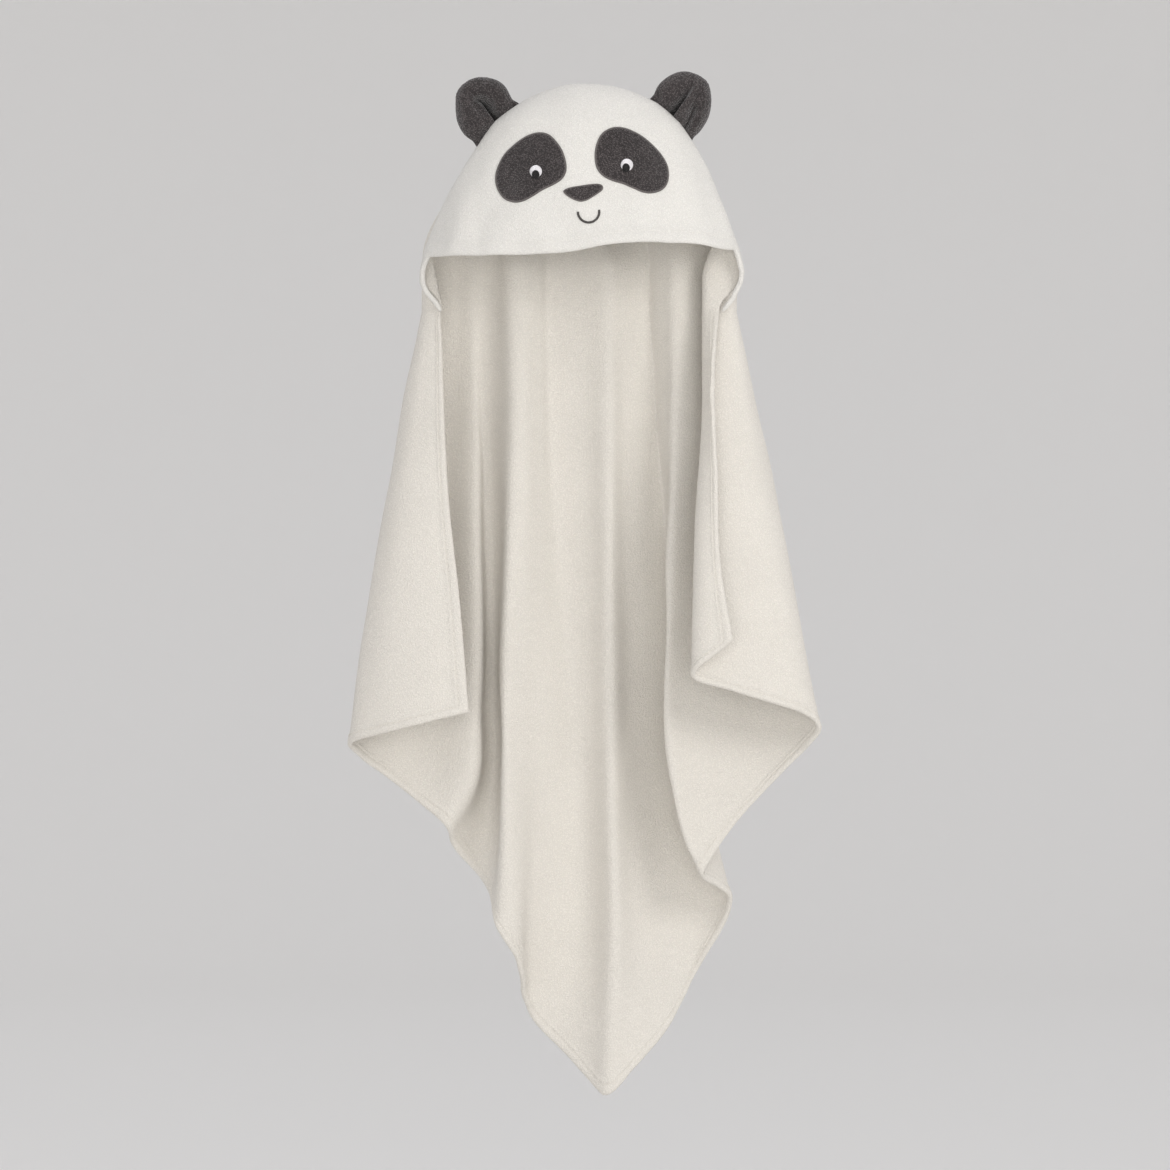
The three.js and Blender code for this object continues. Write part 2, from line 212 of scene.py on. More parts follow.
# %% Pile: terry and plush
def pile(name, colour, loop_size, depth, contrast, sheen, blotch=0.03, painted_shade_attribute=""):
    """A looped or cut pile: loop_size and depth in metres. The last argument names an attribute that scales
    the colour down: painted shade in folds.
    """
    material = bpy.data.materials.new(name)
    material.use_nodes = True
    tree = material.node_tree
    shader = tree.nodes["Principled BSDF"]
    shader.inputs["Roughness"].default_value = 0.95
    shader.inputs["Specular IOR Level"].default_value = 0.12
    shader.inputs["Sheen Weight"].default_value = sheen
    shader.inputs["Sheen Roughness"].default_value = 0.45
    where = tree.nodes.new("ShaderNodeTexCoord").outputs["Object"]
    loops = add_node(tree, "ShaderNodeTexVoronoi", Scale=1 / loop_size, Randomness=0.85)
    fibre = add_node(tree, "ShaderNodeTexNoise", Scale=2.2 / loop_size, Detail=3.0, Roughness=0.65)
    clouds = add_node(tree, "ShaderNodeTexNoise", Scale=14.0, Detail=3.0, Roughness=0.55)
    for texture in (loops, fibre, clouds):
        tree.links.new(where, texture.inputs["Vector"])
    height = add_node(tree, "ShaderNodeMath", operation="SUBTRACT")
    tree.links.new(fibre.outputs["Fac"], height.inputs[0])
    tree.links.new(loops.outputs["Distance"], height.inputs[1])
    bump = add_node(tree, "ShaderNodeBump", Strength=0.9, Distance=depth)
    tree.links.new(height.outputs[0], bump.inputs["Height"])
    tree.links.new(bump.outputs["Normal"], shader.inputs["Normal"])
    # The colour follows the pile's height, darker in the dips and lighter on the tops: partly painted shade
    # in the dips, partly the fibre's own mottled tone (two greys in the plush).
    dark, light = shades(colour, 1 - contrast, 1 + contrast * 0.45)
    tone = ramp(tree, height.outputs[0], [(0.0, dark), (0.34, light)])
    cloud_low, cloud_high = shades((1, 1, 1), 1 - blotch, 1.0)
    wash = ramp(tree, clouds.outputs["Fac"], [(0.35, cloud_low), (0.65, cloud_high)])
    both = add_node(tree, "ShaderNodeMix", data_type="RGBA", blend_type="MULTIPLY")
    both.inputs["Factor"].default_value = 1.0
    tree.links.new(tone, both.inputs[6])
    tree.links.new(wash, both.inputs[7])
    colour_out = both.outputs[2]
    # Painted shade: the colour is multiplied by the named attribute, darker in folds.
    if painted_shade_attribute:
        kept = add_node(tree, "ShaderNodeAttribute", attribute_name=painted_shade_attribute)
        dim = add_node(tree, "ShaderNodeVectorMath", operation="SCALE")
        tree.links.new(colour_out, dim.inputs[0])
        tree.links.new(kept.outputs["Fac"], dim.inputs["Scale"])
        colour_out = dim.outputs["Vector"]
    tree.links.new(colour_out, shader.inputs["Base Color"])
    return material


CREAM = (0.83, 0.792, 0.73)
WHITE = (0.85, 0.83, 0.79)
CHARCOAL = (0.118, 0.102, 0.102)
cream_terry = pile("cream_terry", CREAM, 0.0017, 0.0008, 0.085, 0.2)
white_terry = pile("white_terry", WHITE, 0.0017, 0.0008, 0.08, 0.2)
charcoal_plush = pile("charcoal_plush", CHARCOAL, 0.0016, 0.0011, 0.62, 0.3, 0.2)
# The ears' plush carries painted shade in its creases, from an attribute on the ear mesh.
ear_plush = pile("ear_plush", CHARCOAL, 0.0016, 0.0011, 0.62, 0.45, 0.2, "painted_crease_shade")


# %% Thread, tape and label
def thread(name, colour, rib, sheen=0.2, roughness=0.55):
    """Twisted thread or ribbed tape: fine ribs, rib metres apart, over a slightly glossy colour."""
    material = bpy.data.materials.new(name)
    material.use_nodes = True
    tree = material.node_tree
    shader = tree.nodes["Principled BSDF"]
    shader.inputs["Roughness"].default_value = roughness
    shader.inputs["Specular IOR Level"].default_value = 0.35
    shader.inputs["Sheen Weight"].default_value = sheen
    where = tree.nodes.new("ShaderNodeTexCoord").outputs["Object"]
    ribs = add_node(tree, "ShaderNodeTexWave", Scale=0.31 / rib, Distortion=0.4, bands_direction="DIAGONAL")
    fluff = add_node(tree, "ShaderNodeTexNoise", Scale=1500.0, Detail=2.0)
    tree.links.new(where, ribs.inputs["Vector"])
    tree.links.new(where, fluff.inputs["Vector"])
    bump = add_node(tree, "ShaderNodeBump", Strength=0.5, Distance=rib * 0.3)
    tree.links.new(ribs.outputs["Fac"], bump.inputs["Height"])
    tree.links.new(bump.outputs["Normal"], shader.inputs["Normal"])
    tone = ramp(tree, fluff.outputs["Fac"], [(0.35, shades(colour, 0.8)[0]), (0.65, shades(colour, 1.12)[0])])
    tree.links.new(tone, shader.inputs["Base Color"])
    return material


hem_thread = thread("hem_thread", (0.78, 0.745, 0.68), 0.0006)
white_hem_thread = thread("white_hem_thread", (0.84, 0.82, 0.78), 0.0006)
grey_thread = thread("grey_thread", (0.135, 0.12, 0.115), 0.0005)
mouth_thread = thread("mouth_thread", (0.07, 0.062, 0.058), 0.0005)
white_thread = thread("white_thread", (0.86, 0.84, 0.86), 0.0006)
black_thread = thread("black_thread", (0.008, 0.007, 0.007), 0.0006, 0.05, 0.4)
cream_tape = thread("cream_tape", (0.80, 0.77, 0.70), 0.0012, 0.2, 0.8)
label_satin = thread("label_satin", (0.86, 0.85, 0.83), 0.0004, 0.1, 0.35)
print(len(bpy.data.materials), "materials")

# %% [markdown]
# ## How the towel hangs
# Cloth that hangs from one corner falls in long folds that start near the hood and widen downwards. Each
# fold line is drawn as a curve from the neck to the hem, from the left free edge round the back to the right
# free edge, and the cloth is a smooth surface through all of them. Simulation alone would find other folds
# each time; drawn fold lines keep the turned-back flaps, the two deep creases and the long point as they are.

# %% Fold lines, in millimetres: across, behind the seam plane, above the peg
FOLDS = [
    # left free edge
    [(-144, 4, -218), (-141, -16, -300), (-136, -36, -400), (-124, -54, -510), (-115, -66, -617)],
    [(-152, 7, -218), (-157, -10, -300), (-163, -31, -400), (-166, -50, -520), (-168, -62, -630)],
    [(-159, 13, -218), (-172, -1, -300), (-188, -18, -400), (-201, -35, -520), (-210, -47, -641)],
    # left outer fold
    [(-162, 22, -218), (-179, 15, -300), (-197, 4, -400), (-217, -10, -520), (-235, -28, -649)],
    [(-158, 32, -218), (-175, 30, -300), (-191, 24, -400), (-209, 12, -520), (-227, -3, -661)],
    [(-146, 40, -218), (-156, 44, -300), (-164, 42, -400), (-174, 32, -530), (-192, 14, -688)],
    [(-130, 44, -218), (-134, 48, -300), (-138, 44, -400), (-142, 30, -550), (-162, 10, -712)],
    [(-113, 40, -218), (-110, 38, -320), (-108, 26, -440), (-107, 10, -600), (-113, 2, -690),
     (-137, 6, -735)],
    [(-104, 42, -218), (-103, 44, -320), (-101, 44, -440), (-101, 40, -600), (-106, 38, -700),
     (-130, 30, -757)],
    # crease
    [(-96, 41, -218), (-94, 42, -320), (-92, 43, -440), (-91, 45, -600), (-94, 44, -710), (-112, 36, -776)],
    [(-88, 36, -218), (-86, 34, -320), (-85, 32, -440), (-84, 32, -600), (-84, 28, -720), (-97, 24, -797)],
    # ridge
    [(-75, 20, -218), (-72, 12, -320), (-76, 4, -440), (-81, -8, -600), (-81, -12, -740), (-86, -10, -838)],
    [(-64, 18, -218), (-61, 12, -320), (-62, 7, -440), (-65, 1, -600), (-66, -4, -760), (-66, -4, -868)],
    [(-48, 26, -218), (-46, 25, -320), (-45, 22, -440), (-44, 18, -600), (-49, 20, -780), (-59, 38, -917)],
    # soft valley
    [(-26, 36, -218), (-22, 38, -340), (-12, 38, -500), (-3, 38, -680), (0, 42, -850), (-12, 48, -970)],
    [(0, 30, -218), (4, 31, -340), (8, 30, -500), (11, 30, -680), (14, 33, -850), (7, 38, -992)],
    # ridge
    [(21, 22, -218), (22, 18, -340), (23, 14, -500), (25, 12, -680), (28, 14, -850), (21, 24, -1004)],
    [(35, 28, -218), (36, 30, -340), (38, 32, -500), (42, 34, -680), (48, 34, -840), (52, 34, -973)],
    [(50, 36, -218), (54, 39, -340), (59, 43, -500), (66, 50, -680), (76, 52, -820), (84, 48, -936)],
    [(60, 40, -218), (67, 46, -340), (76, 52, -500), (92, 58, -680), (108, 60, -790), (110, 62, -884)],
    [(67, 41, -218), (76, 46, -340), (90, 53, -500), (114, 56, -680), (132, 52, -760), (143, 42, -826)],
    # hidden fold
    [(71, 35, -218), (79, 38, -340), (93, 43, -500), (117, 45, -680), (133, 38, -755), (147, 27, -806)],
    [(79, 28, -218), (83, 28, -340), (88, 28, -500), (103, 26, -680), (122, 20, -755), (134, 12, -793)],
    # ridge
    [(92, 20, -218), (91, 10, -340), (84, -2, -500), (85, -14, -680), (99, -12, -745), (117, -8, -780)],
    [(103, 22, -218), (103, 15, -340), (98, 6, -500), (103, -4, -680), (112, -5, -735), (126, -4, -764)],
    [(116, 30, -218), (124, 30, -340), (130, 24, -480), (140, 12, -620), (153, 2, -726)],
    [(130, 38, -218), (146, 40, -330), (160, 34, -450), (174, 20, -580), (186, 6, -690)],
    [(143, 37, -218), (164, 36, -320), (185, 25, -430), (203, 10, -560), (217, -6, -658)],
    [(151, 27, -218), (171, 22, -310), (193, 8, -410), (213, -10, -520), (229, -24, -608), (235, -30, -634)],
    # right outer fold
    [(148, 16, -218), (165, 5, -310), (184, -12, -410), (203, -30, -510), (222, -44, -621)],
    [(138, 11, -218), (151, -5, -310), (161, -26, -400), (169, -46, -500), (178, -60, -606)],
    [(126, 9, -218), (132, -10, -310), (137, -34, -400), (138, -58, -500), (140, -70, -594)],
    # right inner fold
    [(118, 6, -218), (117, -16, -310), (110, -42, -400), (106, -68, -500), (105, -80, -582)],
    [(121, 2, -218), (121, -24, -310), (115, -52, -400), (111, -78, -490), (112, -91, -572)],
    [(128, 1, -218), (126, -28, -300), (124, -56, -390), (124, -82, -480), (129, -95, -560)],
    # right free edge
    [(134, 0, -218), (128, -27, -290), (131, -56, -380), (134, -80, -470), (146, -97, -546)],
]
print(len(FOLDS), "fold lines")


# %% A smooth curve through points
def through(knots, values, at):
    """Values on a smooth curve through (knot, value) pairs; at may hold many numbers."""
    knots = np.asarray(knots, float)
    values = np.asarray(values, float)
    slopes = np.gradient(values, knots, axis=0)
    index = np.clip(np.searchsorted(knots, at) - 1, 0, len(knots) - 2)
    span = (knots[index + 1] - knots[index])
    step = np.clip((at - knots[index]) / span, 0, 1)
    if values.ndim > 1:
        span = span[..., None]
        step = step[..., None]
    low, high = values[index], values[index + 1]
    return (
        low * (1 + 2 * step) * (1 - step) ** 2
        + high * step * step * (3 - 2 * step)
        + span * step * (1 - step) ** 2 * slopes[index]
        + span * step * step * (step - 1) * slopes[index + 1]
    )


# %% The cloth below the neck: one row of fold points at each height, a curve through each row
NECK_Z = CROWN_Z - NECK_DROP
TABLE_ROWS = 150
TABLE_COLUMNS = 640


def fold_rows():
    rows = np.zeros((TABLE_ROWS, len(FOLDS), 3))
    for column, fold in enumerate(FOLDS):
        fold = np.array(fold[::-1], float)
        heights = mix(NECK_Z, fold[0, 2], np.linspace(0, 1, TABLE_ROWS))
        rows[:, column, :2] = through(fold[:, 2], fold[:, :2], heights)
        rows[:, column, 2] = heights
    return rows


fold_table = fold_rows()
foot_row = fold_table[int(TABLE_ROWS * 0.8)]
foot_knots = np.concatenate([[0], np.cumsum(np.linalg.norm(np.diff(foot_row, axis=0), axis=1) ** 0.9)])
foot_knots /= foot_knots[-1]
shares = np.linspace(0, 1, TABLE_COLUMNS)
drape = np.stack([through(foot_knots, row, shares) for row in fold_table])


def relax(surface, passes):
    """Rounds the folds a little, keeping the edges where they are."""
    for _ in range(passes):
        inner = 0.5 * surface[:, 1:-1] + 0.25 * (surface[:, :-2] + surface[:, 2:])
        surface[:, 1:-1] = inner
    return surface


drape = relax(drape, 30)
foot_length = np.linalg.norm(np.diff(drape[int(TABLE_ROWS * 0.9)], axis=0), axis=1).sum()
print("cloth round the foot of the folds:", round(foot_length), "mm")

# %% [markdown]
# ## The hood's outline
# The hood's seam rises from the two ends of the opening, over the crown. Its outline is given in a few
# places on each side, and both the hood in front and the towel behind are domes that share it, so the two
# meet along the seam all the way round.

# %% Outline (drop below the crown, half width) and domes
LEFT_OUTLINE = [
    (0, 0), (1.5, 20), (8, 43), (21, 68), (38, 91), (60, 106), (85, 122), (115, 139),
    (145, 152), (165, 160), (186, 164.5), (197, 164), (206, 160), (217, 150), (226, 145),
]
RIGHT_OUTLINE = [
    (0, 0), (1.5, 20), (8, 45), (19, 70), (38, 92), (60, 107), (85, 121), (107, 130),
    (125, 137), (146, 145), (165, 152), (186, 157), (198, 154), (212, 147), (226, 136),
]
FRONT_DEPTH = 84.0
BACK_DEPTH = 60.0
BACK_ROUNDNESS = 1.15
print("hood outline:", len(LEFT_OUTLINE), "points on the left,", len(RIGHT_OUTLINE), "on the right")


def outline(drop, turn):
    """Half the hood's width at this drop below the crown, on the side that turn is on."""
    drop = np.clip(drop, 0, NECK_DROP)
    root = np.sqrt(drop)
    left = np.interp(root, [math.sqrt(d) for d, _ in LEFT_OUTLINE], [w for _, w in LEFT_OUTLINE])
    right = np.interp(root, [math.sqrt(d) for d, _ in RIGHT_OUTLINE], [w for _, w in RIGHT_OUTLINE])
    return mix(left, right, smooth(turn, -1, 1))


def towel_at(share, down):
    """A point of the towel in millimetres: down is 0 at the crown, 1 at the neck and 2 at the hem."""
    share, down = np.broadcast_arrays(np.asarray(share, float), np.asarray(down, float))
    column = share * (TABLE_COLUMNS - 1)
    row = np.clip(down - 1, 0, 1) * (TABLE_ROWS - 1)
    c = np.clip(column.astype(int), 0, TABLE_COLUMNS - 2)
    r = np.clip(row.astype(int), 0, TABLE_ROWS - 2)
    fc = (column - c)[..., None]
    fr = (row - r)[..., None]
    low = drape[r, c] * (1 - fc) + drape[r, c + 1] * fc
    high = drape[r + 1, c] * (1 - fc) + drape[r + 1, c + 1] * fc
    hanging = low * (1 - fr) + high * fr
    drop = NECK_DROP * (1 - np.cos(np.clip(down, CROWN_ROW, 1) * np.pi / 2) ** BACK_ROUNDNESS)
    turn = 2 * share - 1
    angle = turn * np.pi / 2
    width = outline(drop, turn)
    depth = BACK_DEPTH * width / HALF_WIDTH
    dome = np.stack([width * np.sin(angle) + 1, depth * np.cos(angle), CROWN_Z - drop + 0 * width], -1)
    side = np.abs(turn) ** 20
    start = mix(95, 196, side)
    end = mix(185, NECK_DROP, side)
    settled = smooth(drop, start, end)[..., None]
    upright = hanging.copy()
    upright[..., 2] = dome[..., 2]
    return np.where((down < 1)[..., None], mix(dome, upright, settled), hanging)


# %% [markdown]
# ## The towel as a sheet of cloth
# A grid laid out on the flat square, so that its outer rows are the hem: the cloth is folded over there and
# is thicker, and it dips where the hem is stitched down. The grid has both faces and a rim, and the distance
# from each point to the cut edge is known, because the grid was laid out flat first.

# %% Lay the grid out on the flat square
EDGE = 750.0
HEM = 10.0
STITCH_LINE = 7.6
SEAM_LEG = 347.0  # from the square's corner to the neck, along its edge
SEAM_MIDDLE = 282.0  # and the same along its middle line
HEM_STEPS = np.array([0, 0.9, 2.4, 4.2, 6.0, 6.9, 7.6, 8.3, 9.2, 10.2, 11.4, 13.5, 17.0])
HEM_COUNT = len(HEM_STEPS)


def flat_grid(columns, rows):
    """Share of the towel's width, down, and the distance to the nearest free edge, for each grid point."""
    even = np.linspace(0, 1, columns)[1:]
    crown = np.linspace(0.0, 1.0, 44)
    inner = np.linspace(0, 1, rows)[1:]
    down_rows = []
    share = np.linspace(0, 1, 2 * HEM_COUNT + columns - 2)
    share_rows = []
    edge_rows = []

    def lengths(a):
        top = mix(SEAM_LEG, SEAM_MIDDLE, np.sin(a * np.pi) ** 0.7)
        middle = np.radians(45) - np.abs(a - 0.5) * np.radians(90)
        return top, EDGE / np.cos(middle), np.cos(middle)

    def layout(row_kind, value):
        a = share.copy()
        for _ in range(4):
            top, whole, facing = lengths(a)
            last = whole - HEM_STEPS[-1] / facing
            if row_kind == "crown":
                ray = np.maximum(top * (0.18 + 0.82 * value), 40)
            elif row_kind == "inner":
                ray = mix(top, last, value)
            else:
                ray = whole - value / facing
            left = np.degrees(np.arcsin(np.minimum(HEM_STEPS / ray[:HEM_COUNT], 0.5))) / 90
            right = 1 - np.degrees(np.arcsin(np.minimum(HEM_STEPS / ray[-HEM_COUNT:][::-1], 0.5))) / 90
            between = mix(left[-1], right[-1], even[:-1])
            a = np.concatenate([left, between, right[::-1]])
        top, whole, facing = lengths(a)
        down = value if row_kind == "crown" else 1 + (ray - top) / (whole - top)
        turn = np.radians(a * 90)
        along_left, along_right = ray * np.cos(turn), ray * np.sin(turn)
        to_side = np.minimum(along_left, along_right)
        to_hem = np.minimum(EDGE - along_left, EDGE - along_right)
        free = smooth(ray - top, -10, 4)
        to_side = mix(99.0, to_side, free)
        share_rows.append(a)
        down_rows.append(np.broadcast_to(down, a.shape))
        edge_rows.append(np.minimum(to_side, to_hem))

    for value in crown:
        layout("crown", value)
    for value in inner:
        layout("inner", value)
    for value in HEM_STEPS[::-1][1:]:
        layout("hem", value)
    return np.array(share_rows), np.array(down_rows), np.array(edge_rows)


towel_share, towel_down, towel_edge = flat_grid(206, 104)
print("towel grid:", towel_share.shape)


# %% Cloth with two faces from a grid
def grid_normals(points):
    across = np.gradient(points, axis=1)
    down = np.gradient(points, axis=0)
    normals = np.cross(across, down)
    return normals / np.maximum(np.linalg.norm(normals, axis=-1, keepdims=True), 1e-9)


def hem_relief(edge, cloth):
    """Half the thickness of the cloth at a distance from its hemmed edge."""
    folded = 1 - smooth(edge, HEM - 0.6, HEM + 0.9)
    rounded = np.sqrt(np.clip(edge / 1.8, 0.05, 1))
    groove = np.exp(-(((edge - STITCH_LINE) / 1.1) ** 2))
    return cloth / 2 * mix(1, 1.55, folded) * rounded - 0.8 * groove


def waviness(points, size, amount, seed):
    """A slow random swell: size and amount in millimetres."""
    flat = points.reshape(-1, 3)
    swell = [noise.noise(Vector(p) / size + Vector((seed, 0, 0))) for p in flat]
    return amount * np.array(swell).reshape(points.shape[:-1])


def two_faced(name, points, half, material):
    """A closed sheet from a grid of middle points and half its thickness at each."""
    rows, columns = points.shape[:2]
    normals = grid_normals(points)
    front = points + normals * half[..., None]
    rear = points - normals * half[..., None]
    vertices = place(np.concatenate([front.reshape(-1, 3), rear.reshape(-1, 3)]))
    count = rows * columns
    index = np.arange(count).reshape(rows, columns)
    quads = np.stack([index[:-1, :-1], index[:-1, 1:], index[1:, 1:], index[1:, :-1]], -1).reshape(-1, 4)
    ring = np.concatenate([index[0, :-1], index[:-1, -1], index[-1, :0:-1], index[:0:-1, 0]])
    after = np.roll(ring, -1)
    rim = np.stack([ring + count, after + count, after, ring], -1)
    faces = np.concatenate([quads[:, ::-1], quads + count, rim[:, ::-1]])
    sheet = new_object(name, vertices, faces.tolist(), material)
    volume = sheet_volume(sheet)
    if volume < 0:
        sheet.data.flip_normals()
    print(name, len(faces), "faces,", round(abs(volume) * 1e6, 1), "cm3")
    return sheet


def sheet_volume(thing):
    corners = np.zeros(len(thing.data.vertices) * 3)
    thing.data.vertices.foreach_get("co", corners)
    corners = corners.reshape(-1, 3)
    thing.data.calc_loop_triangles()
    triangles = np.zeros(len(thing.data.loop_triangles) * 3, int)
    thing.data.loop_triangles.foreach_get("vertices", triangles)
    a, b, c = (corners[triangles.reshape(-1, 3)[:, k]] for k in range(3))
    return float(np.einsum("ij,ij->i", a, np.cross(b, c)).sum() / 6)


# %% Make the towel
TERRY = 3.4
towel_points = towel_at(towel_share, towel_down)
towel_normals = grid_normals(towel_points)
pucker = waviness(towel_points, 17.0, 1.5, 3.0)
pucker *= np.exp(-(towel_edge / 16.0) ** 2)
swell = waviness(towel_points, 85.0, 2.2, 11.0) * smooth(towel_down, 0.9, 1.15)
towel_points = towel_points + towel_normals * (pucker + swell)[..., None]
towel = two_faced("towel_panel_terry", towel_points, hem_relief(towel_edge, TERRY), cream_terry)

# %% [markdown]
# ## The hood
# The hood is a second sheet that stands forwards like half a cap. Its lower edge is the opening: it is hemmed
# like the towel, runs a little higher on the right, and turns down at each side to the ends of the seam.

# %% Hood surface: turn is -1 at the left seam and 1 at the right, down is 0 at the crown and 1 at the opening
HOOD_CLOTH = 3.2
OPENING_DROP = 166.0  # from the crown down to the middle of the opening edge


def opening_drop(turn):
    """How far below the crown the opening edge is, across the hood."""
    across = HALF_WIDTH * np.sin(turn * np.pi / 2)
    front = OPENING_DROP - 6.5 * np.tanh((across - 2) / 34) + 6 * smooth(across, 95, 150)
    return mix(front, NECK_DROP, smooth(np.abs(turn), 0.84, 1.0))


def hood_at(turn, down):
    """A point of the hood in millimetres, from its turn and down."""
    turn, down = np.broadcast_arrays(np.asarray(turn, float), np.asarray(down, float))
    drop = opening_drop(turn) * (1 - np.cos(np.clip(down, CROWN_ROW, 1) * np.pi / 2))
    width = outline(drop, turn)
    angle = turn * np.pi / 2
    forward = FRONT_DEPTH * (width / HALF_WIDTH) ** 1.05 * np.cos(angle)
    return np.stack([width * np.sin(angle) + 1, -forward - 0.2, CROWN_Z - drop + 0 * width], -1)


# %% Make the hood
hood_turns = np.sin(np.linspace(-np.pi / 2, np.pi / 2, 190) * 0.92) / math.sin(np.pi / 2 * 0.92)
meridian = 175.0  # turns down into a distance from the opening edge
hem_rows = 1 - HEM_STEPS[::-1] / meridian
hood_rows = np.concatenate([np.linspace(0, hem_rows[0], 96)[:-1], hem_rows])
hood_turn, hood_down = np.meshgrid(hood_turns, hood_rows)
hood_points = hood_at(hood_turn, hood_down)
hood_edge = (1 - hood_down) * meridian
hood_normals = grid_normals(hood_points)
hood_swell = waviness(hood_points * np.array([1.0, 1.0, 0.45]), 34.0, 4.6, 5.0)
hood_swell *= smooth(1 - np.abs(hood_turn), 0, 0.2)
hood_swell *= mix(0.35, 1.0, smooth(hood_down, 0.45, 0.9))
hood_swell += waviness(hood_points, 15.0, 1.0, 8.0) * np.exp(-(hood_edge / 14.0) ** 2)
hood_points = hood_points + hood_normals * hood_swell[..., None]
hood = two_faced("hood_panel_terry", hood_points, hem_relief(hood_edge, HOOD_CLOTH), white_terry)

# %% [markdown]
# ## Sewing
# Every stitch on the towel is one small spindle of thread. One Geometry Nodes tree lays them along a path:
# it walks the path in equal steps, turns each stitch to the path and to the cloth under it, and varies it a
# little. With no turn it makes the topstitching of the hems; turned square to the path it makes satin stitch,
# which covers the raw edges of the patches and fills the eyes.


# %% The sewing tree
def sewing_tree():
    tree = bpy.data.node_groups.new("sew_along_path", "GeometryNodeTree")
    names = {}
    for label, kind in (
        ("Path", "NodeSocketGeometry"),
        ("Pitch", "NodeSocketFloat"),
        ("Thread radius", "NodeSocketFloat"),
        ("Turn", "NodeSocketFloat"),
        ("Looseness", "NodeSocketFloat"),
        ("Seed", "NodeSocketInt"),
        ("Thread", "NodeSocketMaterial"),
    ):
        names[label] = tree.interface.new_socket(name=label, in_out="INPUT", socket_type=kind).identifier
    tree.interface.new_socket(name="Stitches", in_out="OUTPUT", socket_type="NodeSocketGeometry")
    given = tree.nodes.new("NodeGroupInput")
    result = tree.nodes.new("NodeGroupOutput")
    curve = tree.nodes.new("GeometryNodeMeshToCurve")
    steps = add_node(tree, "GeometryNodeResampleCurve", mode="LENGTH")
    along = tree.nodes.new("GeometryNodeInputTangent")
    surface = add_node(tree, "GeometryNodeInputNamedAttribute", data_type="FLOAT_VECTOR", Name="surface")
    reach = add_node(tree, "GeometryNodeInputNamedAttribute", data_type="FLOAT", Name="reach")
    lie = add_node(tree, "FunctionNodeAlignRotationToVector", axis="X")
    face = add_node(tree, "FunctionNodeAlignRotationToVector", axis="Z", pivot_axis="X")
    chance = add_node(tree, "FunctionNodeRandomValue", data_type="FLOAT")
    chance.inputs[2].default_value = -1
    chance.inputs[3].default_value = 1
    slack = add_node(tree, "ShaderNodeMath", operation="MULTIPLY_ADD")
    spin = tree.nodes.new("ShaderNodeCombineXYZ")
    spun = tree.nodes.new("FunctionNodeEulerToRotation")
    turned = add_node(tree, "FunctionNodeRotateRotation", rotation_space="LOCAL")
    spindle = add_node(tree, "GeometryNodeMeshUVSphere", Segments=8, Rings=5, Radius=1.0)
    size = tree.nodes.new("ShaderNodeCombineXYZ")
    laid = tree.nodes.new("GeometryNodeInstanceOnPoints")
    real = tree.nodes.new("GeometryNodeRealizeInstances")
    soft = tree.nodes.new("GeometryNodeSetShadeSmooth")
    painted = tree.nodes.new("GeometryNodeSetMaterial")
    wires = (
        (given.outputs["Path"], curve.inputs["Mesh"]),
        (curve.outputs["Curve"], steps.inputs["Curve"]),
        (given.outputs["Pitch"], steps.inputs["Length"]),
        (steps.outputs["Curve"], laid.inputs["Points"]),
        (along.outputs["Tangent"], lie.inputs["Vector"]),
        (lie.outputs["Rotation"], face.inputs["Rotation"]),
        (surface.outputs["Attribute"], face.inputs["Vector"]),
        (given.outputs["Seed"], chance.inputs["Seed"]),
        (chance.outputs[1], slack.inputs[0]),
        (given.outputs["Looseness"], slack.inputs[1]),
        (given.outputs["Turn"], slack.inputs[2]),
        (slack.outputs[0], spin.inputs["Z"]),
        (spin.outputs["Vector"], spun.inputs["Euler"]),
        (face.outputs["Rotation"], turned.inputs["Rotation"]),
        (spun.outputs["Rotation"], turned.inputs["Rotate By"]),
        (turned.outputs["Rotation"], laid.inputs["Rotation"]),
        (reach.outputs["Attribute"], size.inputs["X"]),
        (given.outputs["Thread radius"], size.inputs["Y"]),
        (given.outputs["Thread radius"], size.inputs["Z"]),
        (size.outputs["Vector"], laid.inputs["Scale"]),
        (spindle.outputs["Mesh"], laid.inputs["Instance"]),
        (laid.outputs["Instances"], real.inputs["Geometry"]),
        (real.outputs["Geometry"], soft.inputs["Geometry"]),
        (soft.outputs["Geometry"], painted.inputs["Geometry"]),
        (given.outputs["Thread"], painted.inputs["Material"]),
        (painted.outputs["Geometry"], result.inputs["Stitches"]),
    )
    for source, target in wires:
        tree.links.new(source, target)
    return tree, names


SEW, SEW_INPUTS = sewing_tree()
print("sewing tree:", len(SEW.nodes), "nodes")


